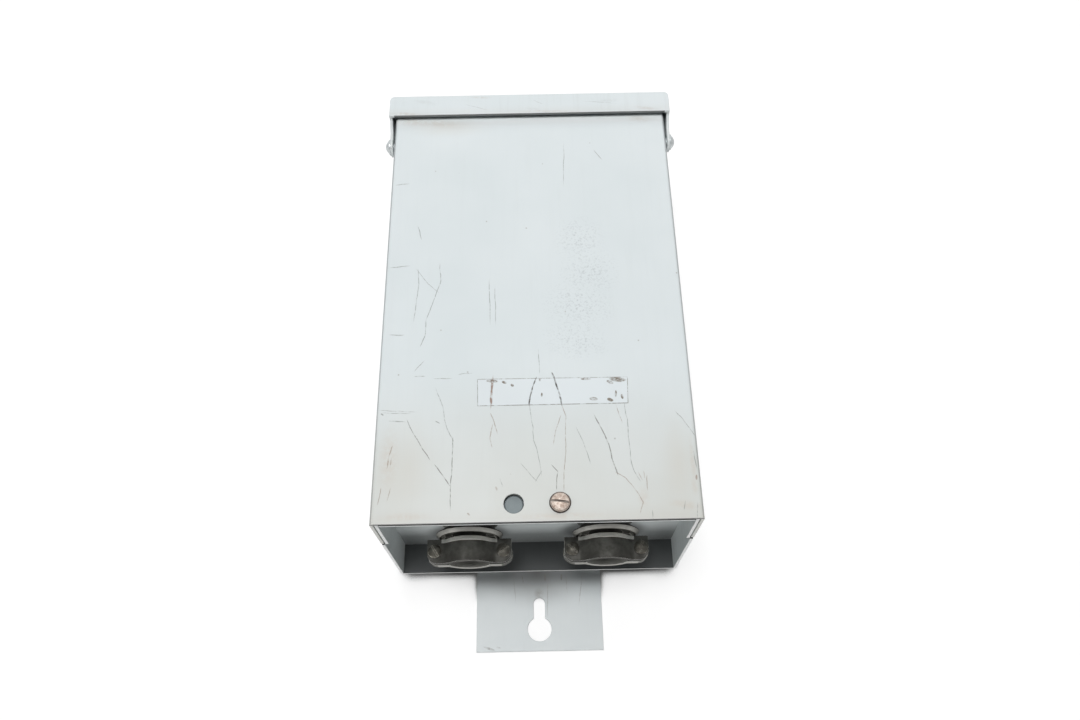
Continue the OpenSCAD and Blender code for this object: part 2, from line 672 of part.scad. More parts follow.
// Ground lug on the starter plate
module ground_lug() color(steel) lift() difference() {
    slab([lug_at.x - 5, lug_at.y - 5, deck_z], [lug_at.x + 5, lug_at.y + 5, deck_z + 11]);
    rod_x([lug_at.x - 6, lug_at.y, deck_z + 4.5], 5, 12);
    rod_z([lug_at.x, lug_at.y, deck_z - past], 5, 14);
}
module ground_screw() color("#3f7d4e") lift()
    slotted_screw([lug_at.x, lug_at.y, deck_z + 11], 4.4, 8, 2.8, plate_z, 30);

mounting_strap();
back_box();
top_plate();
bottom_plate();
hood();
hinge_rivets();
cover();
cover_screw();
screw_washer();
cover_nut();
reset_button();
reset_guide();
reset_bracket();
reset_spring();
left_connector();
right_connector();
left_saddle();
right_saddle();
left_clamp_screw_a();
left_clamp_screw_b();
right_clamp_screw_a();
right_clamp_screw_b();
locknuts();
starter_plate();
plate_spacers();
plate_screws();
contactor_base();
magnet_core();
magnet_coil();
armature();
contact_carrier();
moving_contacts();
contact_springs();
return_springs();
line_terminals();
load_straps();
terminal_screws();
arc_cover();
arc_cover_screws();
base_screws();
overload_base();
heaters();
overload_terminals();
heater_screws();
overload_screws();
reset_pin();
ground_lug();
ground_screw();
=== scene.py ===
import json
import math
from functools import partial
import bmesh
import bpy
from mathutils import Matrix, Vector

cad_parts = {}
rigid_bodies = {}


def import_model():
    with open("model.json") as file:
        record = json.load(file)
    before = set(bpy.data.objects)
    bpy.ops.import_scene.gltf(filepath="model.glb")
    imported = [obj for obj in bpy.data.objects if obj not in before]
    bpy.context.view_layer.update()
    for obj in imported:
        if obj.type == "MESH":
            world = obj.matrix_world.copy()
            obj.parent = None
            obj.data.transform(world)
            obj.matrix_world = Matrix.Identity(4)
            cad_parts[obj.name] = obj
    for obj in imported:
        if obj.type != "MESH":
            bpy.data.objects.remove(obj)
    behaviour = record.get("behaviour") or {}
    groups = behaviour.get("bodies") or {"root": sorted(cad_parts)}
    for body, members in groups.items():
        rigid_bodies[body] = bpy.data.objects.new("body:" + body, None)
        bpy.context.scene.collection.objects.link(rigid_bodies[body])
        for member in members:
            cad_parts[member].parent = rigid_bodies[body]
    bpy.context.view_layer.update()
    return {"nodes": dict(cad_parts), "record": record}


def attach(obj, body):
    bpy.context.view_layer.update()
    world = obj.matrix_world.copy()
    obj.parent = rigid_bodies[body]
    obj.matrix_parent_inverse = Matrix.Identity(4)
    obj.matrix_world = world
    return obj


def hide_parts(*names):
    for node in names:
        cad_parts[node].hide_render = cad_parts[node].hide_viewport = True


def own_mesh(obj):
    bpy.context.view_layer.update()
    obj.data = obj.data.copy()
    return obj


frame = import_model()
scene = bpy.context.scene
mm = 0.001
record = frame["record"]
bodyOf = {node: body for body, nodes in record["behaviour"]["bodies"].items() for node in nodes}


# an sRGB hex code as the linear colour that shaders take
def linear(code):
    parts = [int(code[i:i + 2], 16) / 255 for i in (1, 3, 5)]
    return tuple(c / 12.92 if c <= 0.04045 else ((c + 0.055) / 1.055) ** 2.4 for c in parts) + (1.0,)


# feeds a node's inputs: links what is a socket and sets what is a value
def feed(node, inputs):
    for key, value in inputs.items():
        if isinstance(value, bpy.types.NodeSocket):
            node.id_data.links.new(value, node.inputs[key])
        else:
            node.inputs[key].default_value = value


# adds a node and gives one of its outputs, or the node itself; a kind without a family is a shader node
def add(tree, kind, inputs={}, out=0, **settings):
    node = tree.nodes.new(kind if "Node" in kind else "ShaderNode" + kind)
    for key, value in settings.items():
        setattr(node, key, value)
    feed(node, inputs)
    return node if out is None else node.outputs[out]


# a new material, add for its tree, its shader, and Object coordinates in millimetres
def startMaterial(name):
    material = bpy.data.materials.new(name)
    material.use_nodes = True
    put = partial(add, material.node_tree)
    shader = material.node_tree.nodes["Principled BSDF"]
    inMetres = put("TexCoord", out="Object")
    inMm = put("VectorMath", {0: inMetres, "Scale": 1 / mm}, operation="SCALE")
    return material, put, shader, inMm


# how far off its face a mark reaches, in mm
markDepth = 1.2


# the strongest of many thin ellipses (x, y, turn, half length, half width), tapering to their ends;
# they stay on the face at that height and don't show on the other side of the sheet
def strokes(put, inMm, marks, height):
    found = None
    for x, y, turn, length, width in marks:
        local = put("Mapping", {
            "Vector": inMm, "Location": (x, y, height), "Rotation": (0, 0, math.radians(turn)),
            "Scale": (width, length, markDepth)}, vector_type="TEXTURE")
        one = put("TexGradient", {"Vector": local}, 1, gradient_type="SPHERICAL")
        if found is None:
            found = one
        else:
            found = put("Math", {0: found, 1: one}, operation="MAXIMUM")
    return found


# what all enamel shares: sizes of its patterns in mm, and how far each goes; a mark softer than smoothFrom stays
# smooth, a harder one is broken up, and one harder than cutBelow is cut into the coat
coat = {"gritMm": 1.3, "wanderMm": 7, "wanderBy": (1.1, 1.1, 0), "brokenMm": 2.6, "runMm": (2.6, 46, 2.6),
        "speckMm": 1.1, "chipMm": 13, "peelMm": 2.4, "peel": 0.05, "leastGrimeAndShade": 0.7, "rubFull": 0.8, "markRim": 0.05,
        "smoothFrom": 1.1, "cutBelow": 0.7, "haloFull": 0.4, "haloMost": 0.74, "soot": "#242526", "sootAndShadeMost": 0.93,
        "chipRim": 0.045, "chipFull": 0.02, "satin": 0.06, "relief": 0.5, "reliefDepth": 0.00012, "ior": 1.5}


# stoved enamel on sheet steel: a satin, faintly rippled coat, scuffed through to primer at the edges
def enamel(name, look):
    material, put, shader, inMm = startMaterial(name)
    cloud = put("TexNoise", {"Vector": inMm, "Scale": 1 / look["cloudMm"], "Detail": 3})
    cloud = put("MapRange", {0: cloud, 1: 0.35, 2: 0.65})
    colour = put("Mix", {0: cloud, 6: linear(look["paint"]), 7: linear(look["paintDeep"])}, 2, data_type="RGBA")
    grit = put("TexNoise", {"Vector": inMm, "Scale": 1 / coat["gritMm"], "Detail": 4, "Roughness": 0.7})
    wander = put("TexNoise", {"Vector": inMm, "Scale": 1 / coat["wanderMm"], "Detail": 2}, 1)
    wander = put("VectorMath", {0: wander, 1: (0.5, 0.5, 0.5)}, operation="SUBTRACT")
    drawn = put("VectorMath", {0: wander, 1: coat["wanderBy"], 2: inMm}, operation="MULTIPLY_ADD")
    apart = put("SeparateXYZ", {0: inMm}, None)
    broken = put("TexNoise", {"Vector": inMm, "Scale": 1 / coat["brokenMm"], "Detail": 4, "Roughness": 0.65})
    broken = put("MapRange", {0: broken, 1: 0.38, 2: 0.54, 3: 0.25})
    layers = []
    # handling grime, painted shade and painted light that thicken towards one edge
    for axis, start, end, tint, amount in look["grime"]:
        fade = put("MapRange", {0: apart.outputs[axis], 1: start, 2: end, 4: amount}, interpolation_type="SMOOTHSTEP")
        uneven = put("MapRange", {0: cloud, 3: coat["leastGrimeAndShade"]})
        layers.append((put("Math", {0: fade, 1: uneven}, operation="MULTIPLY"), tint))
    # faint runs left by rain, long in Y as the box hangs
    runs = put("Mapping", {"Vector": inMm, "Scale": coat["runMm"]}, vector_type="TEXTURE")
    runs = put("TexNoise", {"Vector": runs, "Scale": 1.0, "Detail": 3, "Roughness": 0.6})
    runs = put("MapRange", {0: runs, 1: 0.52, 2: 0.78, 4: look["runs"]})
    layers.append((runs, look["run"]))
    # patches rubbed to a fine speckle
    if look["patches"]:
        rubbed = strokes(put, inMm, look["patches"], look["height"])
        speck = put("TexNoise", {"Vector": inMm, "Scale": 1 / coat["speckMm"], "Detail": 5, "Roughness": 0.75})
        speck = put("MapRange", {0: speck, 1: 0.52, 2: 0.62})
        rubbed = put("MapRange", {0: rubbed, 2: coat["rubFull"], 4: look["rub"]})
        rubbed = put("Math", {0: rubbed, 1: speck}, operation="MULTIPLY")
        layers.append((rubbed, look["speckle"]))
    # soft stains and painted shade, then scratches from faint to bare
    cuts = None
    for marks, tint, amount, soft in look["marks"]:
        found = strokes(put, drawn, marks, look["height"])
        mask = put("MapRange", {0: found, 1: coat["markRim"], 2: soft, 4: amount}, interpolation_type="SMOOTHSTEP")
        if soft < coat["smoothFrom"]:
            mask = put("Math", {0: mask, 1: broken}, operation="MULTIPLY")
        layers.append((mask, tint))
        if soft < coat["cutBelow"] and cuts is None:
            cuts = mask
        elif soft < coat["cutBelow"]:
            cuts = put("Math", {0: cuts, 1: mask}, operation="MAXIMUM")
    # painted shade on the underside around what stands there, smooth and dark like the shadow it casts; its marks are
    # (x, z)
    if look["shadeHaloes"]:
        under = put("Mapping", {"Vector": inMm, "Rotation": (-math.pi / 2, 0, 0)})
        haloShade = strokes(put, under, look["shadeHaloes"], look["height"])
        haloShade = put("MapRange", {0: haloShade, 1: coat["markRim"], 2: coat["haloFull"], 4: coat["haloMost"]},
                   interpolation_type="SMOOTHSTEP")
        layers.append((haloShade, coat["soot"]))
    # sparse pin-point chips
    chip = put("TexVoronoi", {"Vector": drawn, "Scale": 1 / coat["chipMm"]})
    chip = put("MapRange", {0: chip, 1: coat["chipRim"], 2: coat["chipFull"], 4: look["chips"]})
    layers.append((chip, look["chip"]))
    # the worn edges, together with the painted highlights that some pieces carry in the same attribute
    wornAndLit = put("Attribute", attribute_name="edgeWear", out="Fac")
    ragged = put("MapRange", {0: broken, 1: 0.3, 2: 0.9, 3: look["edgeLow"], 4: look["edgeHigh"]})
    wornAndLit = put("Math", {0: wornAndLit, 1: ragged}, operation="MULTIPLY")
    layers.append((wornAndLit, look["edge"]))
    # soot and painted shade laid on the pieces' faces
    soot = put("Attribute", attribute_name="soot", out="Fac")
    soot = put("Math", {0: soot, 1: coat["sootAndShadeMost"]}, operation="MULTIPLY")
    layers.append((soot, coat["soot"]))
    for mask, tint in layers:
        colour = put("Mix", {0: mask, 6: colour, 7: linear(tint)}, 2, data_type="RGBA")
    rough = put("MapRange", {
        0: grit, 1: 0.3, 2: 0.7, 3: look["roughness"] - coat["satin"], 4: look["roughness"] + coat["satin"]})
    peel = put("TexNoise", {"Vector": inMm, "Scale": 1 / coat["peelMm"], "Detail": 1})
    relief = put("Math", {0: peel, 1: coat["peel"]}, operation="MULTIPLY")
    if cuts is not None:
        relief = put("Math", {0: relief, 1: cuts}, operation="SUBTRACT")
    bump = put("Bump", {"Height": relief, "Strength": coat["relief"], "Distance": coat["reliefDepth"]})
    feed(shader, {"Base Color": colour, "Roughness": rough, "Normal": bump, "IOR": coat["ior"]})
    return material


# what all metal shares: the colour of its soot and painted shade, how much of it a rubbed edge keeps, the sheen left
# there, depth of the grain in m
bare = {"soot": "#231e1b", "edgeSootAndShade": 0.25, "edgeSheen": 0.4, "edgeLeast": 0.75, "grainDepth": 0.00015}
# a metal's look where it says nothing else
plainMetal = {"edgeAmount": 0.5, "grainMm": (0.5, 0.5, 0.5), "relief": 0.15}


# bare and plated metal: mottled oxide, fine grain, edges rubbed bright, some of them as painted highlight, and soot
# with painted shade
def metal(name, **own):
    look = dict(plainMetal, **own)
    material, put, shader, inMm = startMaterial(name)
    mottle = put("TexNoise", {"Vector": inMm, "Scale": 1 / look["mottleMm"], "Detail": 5, "Roughness": 0.62})
    mottle = put("MapRange", {0: mottle, 1: 0.34, 2: 0.68})
    colour = put("Mix", {0: mottle, 6: linear(look["metal"]), 7: linear(look["oxide"])}, 2, data_type="RGBA")
    drawnOut = put("Mapping", {"Vector": inMm, "Scale": look["grainMm"]}, vector_type="TEXTURE")
    grain = put("TexNoise", {"Vector": drawnOut, "Scale": 1.0, "Detail": 3, "Roughness": 0.6})
    wornAndLit = put("Attribute", attribute_name="edgeWear", out="Fac")
    shown = put("MapRange", {0: grain, 1: 0.3, 2: 0.6, 3: bare["edgeLeast"]})
    wornAndLit = put("Math", {0: wornAndLit, 1: shown}, operation="MULTIPLY")
    wornAndLit = put("Math", {0: wornAndLit, 1: look["edgeAmount"]}, operation="MULTIPLY")
    colour = put("Mix", {0: wornAndLit, 6: colour, 7: linear(look["edge"])}, 2, data_type="RGBA")
    soot = put("Attribute", attribute_name="soot", out="Fac")
    # rubbed and highlighted edges stay clear of the soot and painted shade on the rest
    kept = put("MapRange", {0: wornAndLit, 3: 1.0, 4: bare["edgeSootAndShade"]})
    soot = put("Math", {0: soot, 1: kept}, operation="MULTIPLY")
    colour = put("Mix", {0: soot, 6: colour, 7: linear(bare["soot"])}, 2, data_type="RGBA")
    low, high = look["roughness"]
    rough = put("MapRange", {0: mottle, 3: low, 4: high})
    bump = put("Bump", {"Height": grain, "Strength": look["relief"], "Distance": bare["grainDepth"]})
    sheen = put("MapRange", {0: wornAndLit, 3: look["metallic"], 4: look["metallic"] * bare["edgeSheen"]})
    feed(shader, {"Base Color": colour, "Roughness": rough, "Normal": bump, "Metallic": sheen})
    return material


# what all mouldings share: sizes of flecks and skin in mm, wear of the edges, spread of the gloss, depth in m
mould = {"fleckMm": 1.6, "skinMm": 0.5, "edgeAmount": 0.35, "satin": 0.07, "relief": 0.25, "skinDepth": 0.0001,
         "ior": 1.55}


# moulded plastics and fibre: an even body with filler flecks, a matt skin and slightly paler edges
def moulded(name, **look):
    material, put, shader, inMm = startMaterial(name)
    flow = put("TexNoise", {"Vector": inMm, "Scale": 1 / look["flowMm"], "Detail": 4})
    flow = put("MapRange", {0: flow, 1: 0.3, 2: 0.7})
    colour = put("Mix", {0: flow, 6: linear(look["body"]), 7: linear(look["deep"])}, 2, data_type="RGBA")
    fleck = put("TexVoronoi", {"Vector": inMm, "Scale": 1 / mould["fleckMm"]})
    fleck = put("MapRange", {0: fleck, 1: 0.2, 2: 0.1, 4: look["flecks"]})
    wornAndLit = put("Attribute", attribute_name="edgeWear", out="Fac")
    wornAndLit = put("Math", {0: wornAndLit, 1: mould["edgeAmount"]}, operation="MULTIPLY")
    for mask in (fleck, wornAndLit):
        colour = put("Mix", {0: mask, 6: colour, 7: linear(look["edge"])}, 2, data_type="RGBA")
    skin = put("TexNoise", {"Vector": inMm, "Scale": 1 / mould["skinMm"], "Detail": 2})
    rough = put("MapRange", {
        0: skin, 1: 0.3, 2: 0.7, 3: look["roughness"] - mould["satin"], 4: look["roughness"] + mould["satin"]})
    bump = put("Bump", {"Height": skin, "Strength": mould["relief"], "Distance": mould["skinDepth"]})
    feed(shader, {"Base Color": colour, "Roughness": rough, "Normal": bump, "IOR": mould["ior"]})
    return material


# each ellipse's half length by the length of its leg, what is added to it in mm, and its half width by the path's
legShape = {"long": 0.8, "more": 0.3, "wide": 0.8}


# paths of (half width, points) as overlapping thin ellipses
def scratches(paths):
    marks = []
    for width, *points in paths:
        for (x0, y0), (x1, y1) in zip(points, points[1:]):
            turn = math.degrees(math.atan2(x0 - x1, y1 - y0))
            length = math.dist((x0, y0), (x1, y1)) * legShape["long"] + legShape["more"]
            marks.append(((x0 + x1) / 2, (y0 + y1) / 2, turn, length, width * legShape["wide"]))
    return marks


# scratches on the cover where they lie on the worn box: half width, then points in mm
deepCuts = scratches([
    (0.3, (-61, -73), (-58.5, -78), (-53.5, -87), (-50, -92)), (0.34, (-46.5, -96), (-43, -101), (-40, -105.5)),
    (0.3, (-39.2, -83), (-39, -91), (-39.2, -99), (-39.6, -107), (-39.3, -116)),
    (0.42, (28.6, -73), (32.9, -82.3), (34.4, -88), (35.9, -95), (37.4, -101)),
    (0.3, (7.6, -97), (10.1, -100), (9.6, -104), (9.3, -108))])
# the two that tear across the label
tornCuts = scratches([
    (0.55, (0.8, -52), (-0.8, -56), (-2.3, -61.5), (-2.8, -65.8)),
    (0.6, (8.8, -49.5), (10, -53), (11.3, -58.5), (12.8, -66))])
rustCuts = scratches([
    (0.34, (37.4, -101), (41.4, -103.7), (44.4, -107.6), (47.3, -112.4), (48.5, -115.3), (47.3, -119.5)),
    (0.26, (13.4, -67.5), (14.7, -73), (14.2, -82), (13.9, -92), (13.1, -100), (12.7, -108)),
    (0.3, (-21, -70.5), (-20, -73.5), (-18.2, -80)), (0.28, (-20.6, -76.5), (-21.5, -82.5), (-20.5, -86.7)),
    (0.28, (12, -72.5), (9.8, -78.7), (8.5, -85.3)), (0.26, (39.3, -68), (41, -75)),
    (0.9, (-20.4, -51.5), (-20.8, -58), (-21.1, -66)), (0.4, (-67.5, -86.2), (-68.6, -90.6), (-69.3, -95.7)),
    (0.26, (-67.4, -92.1), (-67.9, -95.5)), (0.24, (-71.7, -106.6), (-72.1, -109.9), (-72.6, -113.5)),
    (0.24, (-67.3, -107.3), (-68.3, -111.7)), (0.3, (47.6, -101.4), (48.8, -104.4)),
    (0.28, (49.9, -101), (50.2, -103.4)), (0.28, (51.2, -103.4), (51.2, -108.7)), (0.7, (74, -103.2), (73.9, -104.8)),
    (0.6, (-18.8, -106.8), (-18.4, -108)), (0.6, (-31.3, -118.9), (-30.7, -119.7))])
faintCuts = scratches([
    (0.26, (-47.3, -58), (-44, -67), (-42.2, -77), (-39.2, -83)),
    (0.24, (-2.6, -67), (-2, -73), (-1, -78), (-0.9, -84), (1, -91), (2.2, -100)),
    (0.24, (2.2, -100), (0, -103.8), (-2.9, -100.8), (-6.5, -96.3)),
    (0.24, (19.7, -79), (22, -84.6), (24, -90.6), (25.2, -95.5)),
    (0.3, (-48, 13), (-47.4, 3.3), (-50.6, -7), (-54, -18.5), (-54.3, -27), (-56, -32.6)),
    (0.26, (-59.3, 10.4), (-58.6, 2), (-59.4, -8), (-60.2, -18)), (0.22, (-59.3, 10.4), (-54, 3), (-49, -2)),
    (0.3, (-22.3, 1.3), (-21.8, -18)), (0.26, (-19.4, -1.8), (-19, -19.5)), (0.26, (18.7, 88.5), (18, 67)),
    (0.36, (-72.6, 13), (-65, 13.6)), (0.36, (-71, -26.6), (-65.5, -26.8)), (0.3, (-72.8, 65.8), (-67.3, 66.5)),
    (0.3, (-60, 37.6), (-58.4, 31)), (0.34, (-57.8, -49.7), (-54, -49.8)), (0.3, (-48, -51), (-41.6, -51)),
    (0.3, (-36.3, -49), (-31.4, -48.5)), (0.28, (-54.7, -42), (-58, -46.3)), (0.3, (2.2, -38), (2.6, -48)),
    (0.34, (67.4, -71.3), (69.9, -74.5), (72.4, -78.6), (74.9, -82.7)), (0.3, (36, 86), (39, 81)),
    (0.24, (-73.1, -67.4), (-65.6, -68), (-57.9, -68.6)), (0.24, (-71.3, -68.8), (-61.3, -69.3)),
    (0.4, (-68.7, -73), (-63, -73.6)), (0.6, (-73.4, -69.3), (-72.8, -69.8)),
    (0.3, (42.9, -67.5), (43.8, -74), (44, -85), (44.3, -95), (45.4, -100), (47.8, -105)),
    (0.3, (-16.8, -103.4), (-15.6, -106.3)), (0.4, (-47.2, -73.5), (-45.8, -74.5)), (0.3, (74, -92), (74.4, -99)),
    (0.26, (73.2, -117), (72.6, -122)), (0.3, (52.5, -119.6), (52.6, -122.6)), (0.26, (67.6, -115.8), (66.8, -119))])
# scraped flecks along the bare label: x, y, turn, half length, half width in mm
labelFlecks = [(-20.6, -53.2, 84, 3.4, 1.0), (-14.8, -53.8, 70, 1.5, 0.8), (-10.9, -55.6, 40, 1.2, 0.8),
               (40.4, -53.6, 84, 4.6, 1.5), (36.8, -55, 70, 2.0, 1.0), (25.0, -52.9, 86, 3.2, 0.7),
               (28.2, -63.6, 84, 2.4, 1.1), (36.4, -64.2, 70, 1.9, 1.1), (42.0, -62.6, 10, 1.6, 0.7),
               (39.3, -61, 0, 2.0, 0.6), (3.5, -61, 5, 1.4, 0.5), (2.7, -53, 0, 0.9, 0.6), (45, -64.5, 0, 1.6, 0.5)]
rubbedPatches = [(25, 28, 0, 17, 15), (29, 8, 0, 18, 18), (23, -12, 0, 18, 21), (21, -31, 80, 19, 13)]
coverStains = [(-66, 110, 80, 18, 5), (-52, 108, 85, 22, 4), (62, 109, 80, 10, 4), (48.5, -112.5, 20, 5, 2),
               (-69, -92, 0, 24, 7), (-60, -120, 90, 16, 3), (68, -117, 80, 12, 3.5), (73, -96, 0, 18, 2),
               (10, -121, 90, 30, 2.4), (72.8, -108, 0, 6, 2.4), (49, -113, 0, 7, 4)]
wideStains = [(-60, -97, 0, 36, 17), (-46, 105, 90, 34, 9), (66, -97, 0, 34, 11)]

plainCoat = {"paint": "#e0e7e9", "paintDeep": "#dbe3e5", "cloudMm": 55, "roughness": 0.42, "grime": [], "runs": 0.1,
             "run": "#a9aaa5", "patches": [], "speckle": "#8f989b", "rub": 0.36, "marks": [], "shadeHaloes": [], "height": 0,
             "chips": 0.4, "chip": "#8d8880", "edge": "#a9b0b1", "edgeLow": 0.1, "edgeHigh": 0.55}
# on the cover: greyer towards its lower end, brownish grime at the very end, a pale band just under the hood that is
# painted light cancelling the lip's shadow, and a dark line under the lip that is painted shade
coverCoat = dict(plainCoat, height=103, patches=rubbedPatches, chips=0.5, runs=0.03, grime=[
    (1, -40, -112, "#cfd0ca", 0.78), (1, -114, -124, "#bdb3a6", 0.2), (1, 104, 110, "#f4f8f8", 0.8),
    (1, 111.6, 112.3, "#3c4346", 0.88)], marks=[
    (wideStains, "#cfcabf", 0.36, 1.2), (coverStains, "#c3ae99", 0.22, 1.0), (faintCuts, "#8f9290", 0.75, 0.4),
    (rustCuts, "#8a6853", 0.62, 0.4), (deepCuts, "#5c5751", 0.75, 0.4), (tornCuts, "#45403b", 0.95, 0.4)])
labelCoat = dict(plainCoat, paint="#e2e9ec", paintDeep="#dde4e7", runs=0.0, height=103.14, edge="#8a8883",
                 edgeLow=0.25, edgeHigh=0.9, chips=0.2, marks=[
    (rustCuts, "#85614c", 0.85, 0.4), (labelFlecks, "#6f6250", 0.9, 0.35), (tornCuts, "#45403b", 0.95, 0.4)])
hoodCoat = dict(plainCoat, height=107.1, grime=[(1, 118, 111, "#cfcdc8", 0.3)], marks=[
    ([(-70, 112, 85, 12, 2), (66, 113, 80, 9, 2), (12, 112, 88, 30, 1.0), (-27.5, 123, 88, 9, 1.2)],
     "#b09a84", 0.25, 1.0),
    ([(-59, 120, 76, 9, 2.4), (2, 114, 80, 6, 1.6), (44, 119, 95, 10, 2)], "#b3b7b6", 0.2, 1.0),
    ([(-30, 116, 70, 9, 0.3), (40, 118, 84, 12, 0.3), (5, 119, 60, 4, 0.3)], "#a7aaa8", 0.4, 0.55)])
# the box's pale edge colour also serves as the painted highlight on the sheet ends under the box
boxCoat = dict(plainCoat, paint="#d3dadb", paintDeep="#cbd3d4", runs=0.25, chips=0.5, edge="#f0f2f2", edgeLow=0.5,
               edgeHigh=1.0)
# on the strap, the grime gradient and the wide dark mark at its top are the box's painted shadow; the brown stain above
# the keyhole, the streaks and the scratches are its own
strapCoat = dict(plainCoat, paint="#d5dbdc", paintDeep="#ced5d7", runs=0.06, height=2, grime=[
    (1, -133.5, -125.5, "#4a4a4c", 0.58)], marks=[
    ([(-1, -124.5, 0, 23, 34)], "#363432", 0.84, 1.2), ([(0, -135.5, 0, 4.5, 4)], "#6f5f52", 0.4, 1.0),
    ([(-27, -164, 70, 4, 0.8), (-22, -163.6, 80, 2, 0.6), (3.5, -127, 0, 3, 0.8), (12.4, -126.6, 0, 2.4, 0.7),
      (-9, -127.5, 10, 2.6, 0.5)], "#6f6862", 0.6, 0.6),
    (scratches([(0.3, (5, -128), (4.6, -146)), (0.3, (15, -124), (15.3, -134)), (0.26, (-14, -125), (-13, -138)),
                (0.3, (24, -126), (22, -140))]), "#8b8781", 0.6, 0.55)])
# the recess paint is a little darker than the box's as painted shade, its grime towards the apron and its haloes around
# the connectors are painted shade, and its pale edge colour is the painted highlight on the apron's lower end
recessCoat = dict(plainCoat, paint="#c8cfd0", paintDeep="#bec5c6", chips=0.4, height=107.05, edge="#dde1e1",
                  edgeLow=0.7, edgeHigh=1.0, grime=[(2, 48, 96, "#55595a", 0.42)],
                  shadeHaloes=[(-37, 26, 0, 22, 26), (35, 27, 0, 22, 28)])
innerCoat = dict(plainCoat, paint="#c4cccf", paintDeep="#bcc4c7", chips=0.3)

paint = {
    # the same pale enamel, worn on the cover, grimy and painted with the box's shadow on the strap, and painted darker
    # as shade in the recess
    "cover": enamel("enamelCoverWorn", coverCoat),
    "hood": enamel("enamelHood", hoodCoat),
    "box": enamel("enamelBox", boxCoat),
    "strap": enamel("enamelStrapGrimy", strapCoat),
    # lacquer on foil, torn and scraped to its brown back
    "label": enamel("lacqueredFoilLabel", labelCoat),
    "inner": enamel("enamelInside", innerCoat),
    "recess": enamel("enamelRecessDusty", recessCoat),
    # die-cast zinc: grey, dull with white-rust, rubbed bright where it is handled; its near-white edge colour is partly
    # a painted highlight on the saddles' rims and the beads
    "zinc": metal("dieCastZinc", metal="#6b6b66", oxide="#4f4f4a", edge="#f6f6f0", edgeAmount=1.0, mottleMm=5,
        grainMm=(4.5, 0.6, 0.6), roughness=(0.54, 0.7), relief=0.3, metallic=0.6),
    # plated screws gone dull and yellowish
    "zincScrew": metal("dullPlatedSteel", metal="#77756d", oxide="#4f4c45", edge="#c2bfb6", edgeAmount=0.9,
        mottleMm=2.5, roughness=(0.4, 0.6), relief=0.3, metallic=0.8),
    # flash copper over steel, gone pinkish brown with brighter wipes
    "copperScrew": metal("copperFlashedSteel", metal="#f2e7dc", oxide="#b39a8b", edge="#e6dbd1", edgeAmount=0.6,
        mottleMm=1.4, grainMm=(2.0, 0.35, 1.0), roughness=(0.5, 0.66), relief=0.3, metallic=0.45),
    # cold-headed steel, pale and a little tarnished
    "rivet": metal("plainSteelRivet", metal="#d6dbdc", oxide="#b3b9bb", edge="#e8ebec", mottleMm=3,
        grainMm=(0.6, 0.6, 0.6), roughness=(0.3, 0.45), relief=0.2, metallic=0.45),
    # zinc plate on steel inside the box, still bright
    "steel": metal("zincPlatedSteel", metal="#b8babb", oxide="#8f9293", edge="#dadcdc", mottleMm=9,
        grainMm=(6.0, 0.5, 0.5), roughness=(0.3, 0.46), metallic=0.9),
    # stacked core sheets, brownish with annealing scale
    "lamination": metal("siliconSteelLaminations", metal="#83807b", oxide="#5e5a55", edge="#a5a29c", mottleMm=6,
        grainMm=(3.0, 0.4, 0.6), roughness=(0.4, 0.55), metallic=0.85),
    # hard-drawn spring wire: bluish grey and slick with oil
    "springSteel": metal("hardDrawnSpringWire", metal="#9a9ea2", oxide="#6f7377", edge="#c9cccd", edgeAmount=0.3,
        mottleMm=2, grainMm=(0.4, 0.4, 0.4), roughness=(0.26, 0.4), relief=0.1, metallic=0.95),
    # rolled brass, lightly tarnished
    "brass": metal("rolledBrass", metal="#c29a55", oxide="#8f6c3a", edge="#e0c07f", mottleMm=8,
        grainMm=(0.5, 5.0, 0.5), roughness=(0.28, 0.46), metallic=1.0),
    # green dye over plating, as ground screws have
    "green": metal("greenDyedPlating", metal="#3f7d4e", oxide="#2c5a38", edge="#8fb498", mottleMm=3,
        roughness=(0.35, 0.5), metallic=0.6),
    # compression-moulded phenolic: near black or brown, satin, with paler filler flecks
    "phenolic": moulded("blackPhenolic", body="#2c2b2c", deep="#222122", edge="#4d4b4b", flowMm=18, flecks=0.25,
        roughness=0.42),
    "brown": moulded("brownPhenolic", body="#5a3022", deep="#46241a", edge="#7d4c38", flowMm=14, flecks=0.3,
        roughness=0.42),
    # red-brown varnish, glossy over the winding
    "coil": moulded("varnishedCoilResin", body="#7c3226", deep="#62251c", edge="#9a5446", flowMm=9, flecks=0.1,
        roughness=0.3),
    # grey urea and red nylon, both satin
    "button": moulded("greyUreaPlastic", body="#7f8a8d", deep="#778285", edge="#8f999c", flowMm=4, flecks=0.15,
        roughness=0.5),
    "red": moulded("redNylon", body="#a5352c", deep="#912c24", edge="#c0584f", flowMm=6, flecks=0.05, roughness=0.4),
    # vulcanised fibre: dark brown, matt and flecked
    "fibre": moulded("vulcanisedFibre", body="#332822", deep="#261d19", edge="#4d3e35", flowMm=2, flecks=0.3,
        roughness=0.7),
}
print("materials:", len(paint))


# fixes a piece to its body and hides the node it stands for
def place(piece, nodes, body=None):
    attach(piece, body or bodyOf[nodes[0]])
    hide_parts(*nodes)
    return piece


# the evaluated mesh in place of a mesh with modifiers
def settle(piece):
    depsgraph = bpy.context.evaluated_depsgraph_get()
    mesh = bpy.data.meshes.new_from_object(piece.evaluated_get(depsgraph))
    piece.modifiers.clear()
    piece.data = mesh
    mesh.name = piece.name
    return mesh


# marks the bevelled corners for the wear in the materials and leaves one material
def markEdges(mesh, material):
    wornAndLit = mesh.attributes.new("edgeWear", "FLOAT", "CORNER")
    for face in mesh.polygons:
        if face.material_index:
            for loop in face.loop_indices:
                wornAndLit.data[loop].value = 1.0
        face.material_index = 0
    mesh.materials.clear()
    mesh.materials.append(material)


